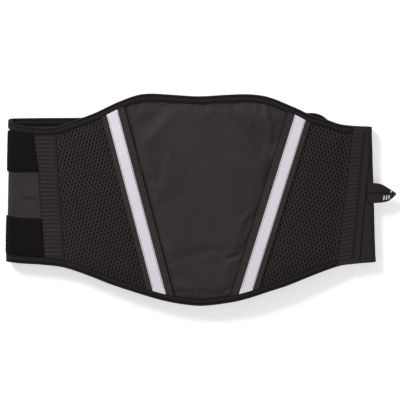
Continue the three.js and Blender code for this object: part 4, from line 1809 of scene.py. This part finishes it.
@dataclass(frozen=True)
class LeftWing:
    """The nylon wing that folds under on the left, with two strips of loop pile."""

    step: float = 2.0
    seam_width: float = 30.0  # from its seam to the fold
    fold_width: float = 16.0
    fold_steps: int = 22
    loop_step: float = 0.95
    loop_margin: float = 36.0
    loop_run: float = 378.0
    loop_centres: tuple = (54.2, -52.0)  # of the upper and the lower strip, from the middle line
    loop_stitches: float = 2.0  # from their edges
    loop_thread: Thread = Thread(2.6, 1.9, 0.3)
    level_from: float = -207.0  # the loop strips begin here, and run level to the fold
    level_to: float = -250.0
    level_run: float = 70.0  # past the fold, over which they turn to follow the middle line
    upper_share: float = 0.6  # of that turn which their upper edges have before the fold
    creases: tuple = (
        Fold((-230, -2.2), (-207, -5.0), 1.1, -0.75),
        Fold((-228, 3.0), (-207, 1.5), 3.0, 0.35),
        Fold((-221, 18.0), (-208, 9.0), 2.2, -0.4),
        Fold((-224, -18.0), (-208, -13.0), 2.4, 0.4),
    )

    @property
    def lap(self) -> float:
        """Where it has climbed onto the end of the right wing."""
        return PATTERN.right_wing_end - PATTERN.hook_margin / 2

    def stops(self, end: float) -> list[Line]:
        """Lines across it: seam, fold's start, past the fold, lap's start and end, and end."""
        return [
            PATTERN.seam(PATTERN.left_wing_seam, -PATTERN.gap / 2),
            lambda y: PATTERN.left_turn(y) + 1.0,
            lambda y: PATTERN.left_under(PATTERN.left_turn(y) + 2.0, y),
            lambda y: PATTERN.left_under(self.lap - PATTERN.lap_ramp, y),
            lambda y: PATTERN.left_under(self.lap, y),
            lambda y: PATTERN.left_under(end, y),
        ]

    def lines(self, end: float, step: float) -> Array:
        """Columns between those stops, about a step apart and closer in the fold.

        Args:
            end: Where the grid ends, on the underside.
            step: Size of a cell along the wing.

        Returns:
            The columns.
        """
        before = PATTERN.left_reach - self.fold_width + self.lap - PATTERN.lap_ramp
        runs = (before, PATTERN.lap_ramp, end - self.lap)
        counts = [max(2, round(run / step)) for run in runs]
        return columns(round(self.seam_width / step), self.fold_steps, *counts)

    def creased(self, patch: Patch) -> Array:
        """Creases and soft waves of the wing's cloth."""
        relief = sum(fold.relief(patch.s, patch.y) for fold in self.creases)
        return relief + waves(patch.s, patch.y, (0.18, 21.0, 71), (0.1, 8.0, 72))

    def build(self) -> None:
        """The wing's cloth, its loop strips and their stitches, and its bindings."""
        half = PATTERN.wing_thickness / 2
        tuck = PATTERN.binding_tuck
        last, radius = PATTERN.left_wing_end - tuck, PATTERN.wing_corner - tuck
        straight = self.lines(last - radius, self.step)
        corner = len(self.stops(0)) - 1 + np.sin(np.linspace(0, math.pi / 2, 15))[1:]
        stops = [*self.stops(last - radius), lambda y: PATTERN.left_under(last, y)]
        low, high = PATTERN.edge(Rim.BOTTOM, tuck), PATTERN.edge(Rim.TOP, tuck)

        def cut(s: Array, edge: Array) -> Array:
            """How far the rounded corner has cut that edge back."""
            return PATTERN.corner(last - PATTERN.left_under(s, edge), radius)

        patch = PATTERN.patch(
            stops, np.r_[straight, corner],
            lambda s: low(s) + cut(s, low(s)), lambda s: high(s) - cut(s, high(s)), rows(90),
        )
        relief = self.creased(patch)
        # Painted shade in the valley of the first crease: the mark darkens the nylon there.
        dark = np.clip(-1.4 * self.creases[0].relief(patch.s, patch.y), 0, 1)
        body = Body()
        body.shell(patch, half + relief, -half + 0.6 * relief, dark)
        wing = body.build("left_wing_cloth", NYLON, ["left_wing"])
        binding = Binding()
        for rim, part in ((Rim.TOP, "upper"), (Rim.BOTTOM, "lower")):
            self.loop_strip(rim, part)
            path = binding.wing_path(rim)
            binding.build(f"wing_binding_{part}", path, PATTERN.wing_thickness)

    def loop_strip(self, rim: Rim, part: str) -> None:
        """One strip of loop pile, sewn down along its rim.

        Args:
            rim: The edge that it lies along.
            part: upper or lower.
        """
        end = PATTERN.left_wing_end - self.loop_margin
        half = PATTERN.loop_height / 2
        centre = self.loop_centres[0 if rim is Rim.TOP else 1]

        def bound(way: int) -> Line:
            """Its lower (-1) or upper (1) edge, clear of the bindings.

            Args:
                way: Which of the two.

            Returns:
                The edge's height for a place along the belt.
            """
            beside = PATTERN.beside_binding

            def line(s: Array) -> Array:
                """Height of that edge of the strip.

                Args:
                    s: Places along the belt.

                Returns:
                    Their heights.
                """
                level = PATTERN.middle(self.level_from)
                under = smooth((self.level_to - s) / self.level_run)
                share = np.maximum(under, self.upper_share) if way > 0 else under
                height = level + (PATTERN.middle(s) - level) * share + centre + way * half
                if way < 0:
                    return np.maximum(height, PATTERN.edge(Rim.BOTTOM, beside)(s))
                return np.minimum(height, PATTERN.edge(Rim.TOP, beside)(s))

            return line

        low, high = bound(-1), bound(1)
        across, up = self.lines(end, self.loop_step), rows(48, (0.004, 0.012))
        patch = PATTERN.patch(self.stops(end), across, low, high, up)
        inside = np.minimum(patch.y - low(patch.s), high(patch.s) - patch.y)
        base = PATTERN.wing_thickness / 2
        tuft = waves(patch.s, patch.y, (0.16, 1.5, 81), (0.12, 5.0, 82))
        sewn = bell(inside - self.loop_stitches, 0.6)
        outer = base + 0.5 + (1.6 + tuft) * rounding(inside, 1.1) - 0.6 * sewn
        body = Body()
        body.shell(patch, outer, base - 0.1)
        strip = body.build(f"loop_strip_{part}_pile", LOOPS, [f"loop_strip_{part}"], sharp=80)
        body = Body()
        s = np.linspace(self.level_from, self.level_from - self.loop_run, 900)
        for line, way in ((low, 1), (high, -1)):
            body.stitches(s, line(s) + way * self.loop_stitches, base + 1.6, self.loop_thread)
        body.build(f"loop_strip_{part}_stitches", DARK_THREAD)


@dataclass(frozen=True)
class RightWing:
    """The brushed wing that folds under on the right, with hook patches on its inner face."""

    hem: float = 7.0
    stitch_inset: float = 1.6  # from the hem's inner edge
    stitch_from: float = 203.0
    stitch_run: float = 225.0
    thread: Thread = Thread(2.8, 2.0, 0.3)
    hook_length: float = 60.0
    hook_height: float = 44.0
    hook_pitch: float = 1.8

    def build(self) -> None:
        """The wing's cloth with its hem, and the hook patches."""
        half = PATTERN.wing_thickness / 2
        radius, last = PATTERN.wing_corner, PATTERN.right_wing_end
        stops = [
            PATTERN.seam(PATTERN.right_wing_seam, PATTERN.gap / 2),
            lambda y: PATTERN.right_under(PATTERN.right_turn(y) - 6.0, y),
            lambda y: PATTERN.right_under(last + radius, y),
            lambda y: PATTERN.right_under(last, y),
        ]
        low, high = PATTERN.edge(Rim.BOTTOM), PATTERN.edge(Rim.TOP)

        def cut(s: Array, edge: Array) -> Array:
            """How far the rounded corner has cut that edge back."""
            return PATTERN.corner(PATTERN.right_under(s, edge) - last, radius)

        u = np.r_[columns(34, 95), 2 + np.sin(np.linspace(0, math.pi / 2, 17))[1:]]
        patch = PATTERN.patch(
            stops, u, lambda s: low(s) + cut(s, low(s)), lambda s: high(s) - cut(s, high(s)),
            rows(84, (0.0018, 0.005)),
        )
        rim = np.minimum(
            high(patch.s) - cut(patch.s, high(patch.s)) - patch.y,
            patch.y - low(patch.s) - cut(patch.s, low(patch.s)),
        )
        rim = np.minimum(rim, PATTERN.right_under(patch.s, patch.y) - last)
        rounded = rounding(rim, 1.1)
        hemmed = 1 - smooth((rim - self.hem) / 1.5 + 0.5)
        wave = waves(patch.s, patch.y, (0.12, 24.0, 91), (0.072, 9.0, 92))
        sewn = bell(rim - self.hem + self.stitch_inset, 0.7)
        outer = (half - 0.25 + 0.35 * hemmed - 0.3 * sewn + wave) * rounded
        body = Body()
        body.shell(patch, outer, (-half + 0.1 + wave) * rounded, sewn)
        wing = body.build("right_wing_cloth", BRUSHED, ["right_wing"])
        body = Body()
        s = np.linspace(self.stitch_from, self.stitch_from + self.stitch_run, 700)
        inset = self.hem - self.stitch_inset
        for line, way in ((low, 1), (high, -1)):
            body.stitches(s, line(s) + way * inset, half - 0.15, self.thread)
        body.build("right_wing_stitches", DARK_THREAD)
        for side, part in ((1, "upper"), (-1, "lower")):
            self.hook_patch(side, part)

    def hook_patch(self, side: int, part: str) -> None:
        """A hook patch: a thin base with rows of small moulded hooks standing on it.

        Args:
            side: 1 for the upper patch and -1 for the lower.
            part: upper or lower.
        """
        near = PATTERN.right_wing_end + PATTERN.hook_margin
        offset = PATTERN.side_height / 2 - PATTERN.binding_width - PATTERN.loop_height / 2
        centre = PATTERN.left_under(near + self.hook_length / 2, 0.0)
        middle = float(PATTERN.middle(centre)) + side * offset
        stops = [
            lambda y: PATTERN.right_under(near + self.hook_length, y),
            lambda y: PATTERN.right_under(near, y),
        ]
        half = self.hook_height / 2
        patch = PATTERN.patch(
            stops, columns(100),
            lambda s: 0 * s + middle - half, lambda s: 0 * s + middle + half, rows(74),
        )
        turn = math.pi / self.hook_pitch
        hooks = np.abs(np.sin(turn * patch.s) * np.sin(turn * patch.y)) ** 1.5
        base = -PATTERN.wing_thickness / 2
        body = Body()
        body.shell(patch, base + 0.05, base - PATTERN.gap - 0.45 - 0.75 * hooks, hooks)
        body.build(f"hook_patch_{part}_hooks", HOOKS, [f"hook_patch_{part}"], sharp=80)


# The pull tab


@dataclass(frozen=True)
class PullTab:
    """A ribbon folded to a point at the right fold, to pull the right wing off by."""

    length: float = 36.3
    half_width: float = 13.0  # on its UV map
    thickness: float = 1.6
    droop: float = 4.0
    # Share of its length, and shares of its half width above and below its middle there.
    plan: tuple = (
        (0.0, 1.0, 0.9), (0.3, 0.98, 0.9), (0.48, 0.88, 0.86), (0.62, 0.7, 0.8),
        (0.74, 0.5, 0.7), (0.88, 0.26, 0.42), (1.0, 0.06, 0.14),
    )
    # White bars: share of its length, and where each starts and ends across it.
    bars: tuple = (
        (0.6, -0.75, -0.25), (0.69, -0.75, -0.25), (0.78, -0.75, -0.25), (0.8, 0.25, 0.8),
    )
    bar_width: float = 0.05
    end_from: float = 0.92  # share of its length at which the red end starts
    proud: float = 0.12  # how far the red end and the bars stand off the ribbon

    def root(self) -> float:
        """Where it leaves the right wing's seam."""
        top = PATTERN.tab_height + PATTERN.tab_width / 2
        return float(PATTERN.seam(PATTERN.right_wing_seam, PATTERN.gap / 2)(top)) + PATTERN.gap

    def level(self, along: Array) -> Array:
        """Height of its under face, at shares of its length."""
        return PATTERN.fold_top + PATTERN.wing_thickness / 2 + PATTERN.gap - self.droop * along**2

    def surface(self, along: Array, across: Array, lift: float = 0.0) -> Array:
        """Points of the tab's upper face.

        Each run is a shallow arch between the tab's edge and the dividing groove, and the whole
        hangs by its droop times the share of its length squared.

        Args:
            along: Shares of its length.
            across: Shares of its half width, from -1 below to 1 above.
            lift: Height above the face, in millimetres.

        Returns:
            The points in the row's frame, in metres.
        """
        plan = np.array(self.plan)
        up, down = (Curve(plan[:, 0], plan[:, k]).at(along)[0] for k in (1, 2))
        width = np.where(across > 0, up, down) * PATTERN.tab_width / 2
        arch = np.sqrt(np.clip(1 - (2 * np.abs(across) - 1) ** 2, 0, 1))
        z = self.level(along) + self.thickness * (0.45 + 0.55 * arch**0.6) + lift
        point = [self.root() + along * self.length, PATTERN.tab_height + across * width, z]
        return (np.stack(point, -1) + np.array(PATTERN.shift)) * MM

    def ribbon(
        self, start: float, grow: float, finish: Finish, name: str, nodes: Sequence[str] = (),
    ) -> None:
        """The tab's closed section, from some way along it to its tip.

        Args:
            start: Share of the length at which it begins.
            grow: How much larger its section is than the ribbon's, in millimetres.
            finish: What it is made of.
            name: Its name.
            nodes: CAD nodes that it stands for.
        """
        along = np.linspace(start, 1.0, max(8, round(60 * (1.0 - start))))[:, None]
        across = np.sin(np.linspace(-math.pi / 2, math.pi / 2, 41))[None, :]
        along, across = np.broadcast_arrays(along, across)
        top = self.surface(along, across, grow)
        under = top[:, ::-1].copy()
        under[..., 2] = (self.level(along) - grow) * MM
        rings = np.concatenate([top, under], axis=1)
        share = np.concatenate([across, across[:, ::-1]], axis=1)
        up = share * self.half_width
        uv = np.stack([np.concatenate([along, along], 1) * self.length, up], -1) * UV_SCALE
        body = Body()
        # The mark paints shade in the dividing groove along the tab's middle.
        body.tube(rings, uv, bell(up, 0.8))
        body.build(name, finish, nodes)

    def build(self) -> None:
        """The ribbon, its red end, and plain white bars with their feet sunk in it."""
        self.ribbon(0.0, 0.0, TAB_RIBBON, "pull_tab_ribbon", ["pull_tab"])
        self.ribbon(self.end_from, self.proud, TAB_RED, "pull_tab_end")
        body = Body()
        for middle, start, end in self.bars:
            along = middle + self.bar_width * np.linspace(-0.5, 0.5, 5)[:, None]
            across = np.linspace(start, end, 13)[None, :]
            along, across = np.broadcast_arrays(along + 0.05 * across, across)
            sides = [self.surface(along, across, lift) for lift in (self.proud, -0.2)]
            points = np.concatenate([side.reshape(-1, 3) for side in sides])
            body.add(points, closed_faces(*along.shape), points[:, :2] / MM * UV_SCALE)
        body.build("pull_tab_bars", TAB_WHITE)


# The studio


@dataclass(frozen=True)
class Studio:
    """A plain pale floor, soft light and a camera that looks straight down."""

    distance: float = 3.0
    span: float = 0.5  # width of the picture at the belt's height
    belt_height: float = 0.015
    centre: tuple = (-0.0007, -0.0003)
    sensor: float = 36.0
    floor_size: float = 14.0
    floor_glow: float = 0.42
    sky: float = 0.3
    key_place: tuple = (-2.0, 2.2, 2.0)
    key_power: float = 118.0
    fill_place: tuple = (2.0, -1.2, 2.6)
    fill_share: float = 0.22

    def build(self) -> None:
        """Floor, lights and camera."""
        scene = bpy.context.scene
        scene.view_settings.view_transform = "Standard"
        self.floor()
        world = bpy.data.worlds.new("soft_sky")
        world.use_nodes = True
        background = world.node_tree.nodes["Background"]
        background.inputs["Color"].default_value = (1.0, 1.0, 1.0, 1.0)
        background.inputs["Strength"].default_value = self.sky
        scene.world = world
        self.lamp("key", self.key_place, 1.2, self.key_power)
        self.lamp("fill", self.fill_place, 2.0, self.key_power * self.fill_share)
        camera = bpy.data.cameras.new("camera")
        camera.sensor_width = self.sensor
        camera.lens = self.sensor * (self.distance - self.belt_height) / self.span
        camera.clip_end = 20.0
        shown = bpy.data.objects.new("camera", camera)
        shown.location = (*self.centre, self.distance)
        scene.collection.objects.link(shown)
        scene.camera = shown

    def floor(self) -> None:
        """A flat floor under the belt."""
        half = self.floor_size / 2
        corners = [(-half, -half, 0), (half, -half, 0), (half, half, 0), (-half, half, 0)]
        mesh = bpy.data.meshes.new("floor")
        mesh.from_pydata(corners, [], [(0, 1, 2, 3)])
        ink = Ink("pale_floor")
        cloud = ink.grain(300.0)
        mesh.materials.append(ink.surface({
            "Base Color": ink.blend((0.9, 0.9, 0.9), (0.94, 0.94, 0.94), cloud),
            "Roughness": 0.9,
            "Specular IOR Level": 0.1,
            "Emission Color": (1.0, 1.0, 1.0, 1.0),
            "Emission Strength": self.floor_glow,
        }))
        floor = bpy.data.objects.new("floor", mesh)
        bpy.context.scene.collection.objects.link(floor)

    @staticmethod
    def lamp(name: str, place: tuple, size: float, power: float) -> None:
        """A square soft lamp that points at the belt.

        Args:
            name: Its name.
            place: Where it hangs, in metres.
            size: Length of its sides.
            power: Its power in watts.
        """
        light = bpy.data.lights.new(name, "AREA")
        light.size, light.energy = size, power
        lamp = bpy.data.objects.new(name, light)
        lamp.location = place
        x, y, z = place
        lamp.rotation_euler = (math.atan2(math.hypot(x, y), z), 0.0, math.atan2(y, x) + math.pi / 2)
        bpy.context.scene.collection.objects.link(lamp)


def main() -> None:
    """Builds the studio and every piece of the belt, in order."""
    logging.basicConfig(level=logging.INFO, format="%(message)s")
    Studio().build()
    CentrePanel().build()
    for side in Side:
        MeshPanel(side).build()
        ElasticPanel(side).build()
        SeamTape(side).build()
    bindings = Binding()
    for rim in Rim:
        name = f"{rim.name.lower()}_binding"
        bindings.build(name, bindings.back_path(rim), PATTERN.edge_thickness)
    LeftWing().build()
    RightWing().build()
    PullTab().build()


if __name__ == "__main__":
    main()
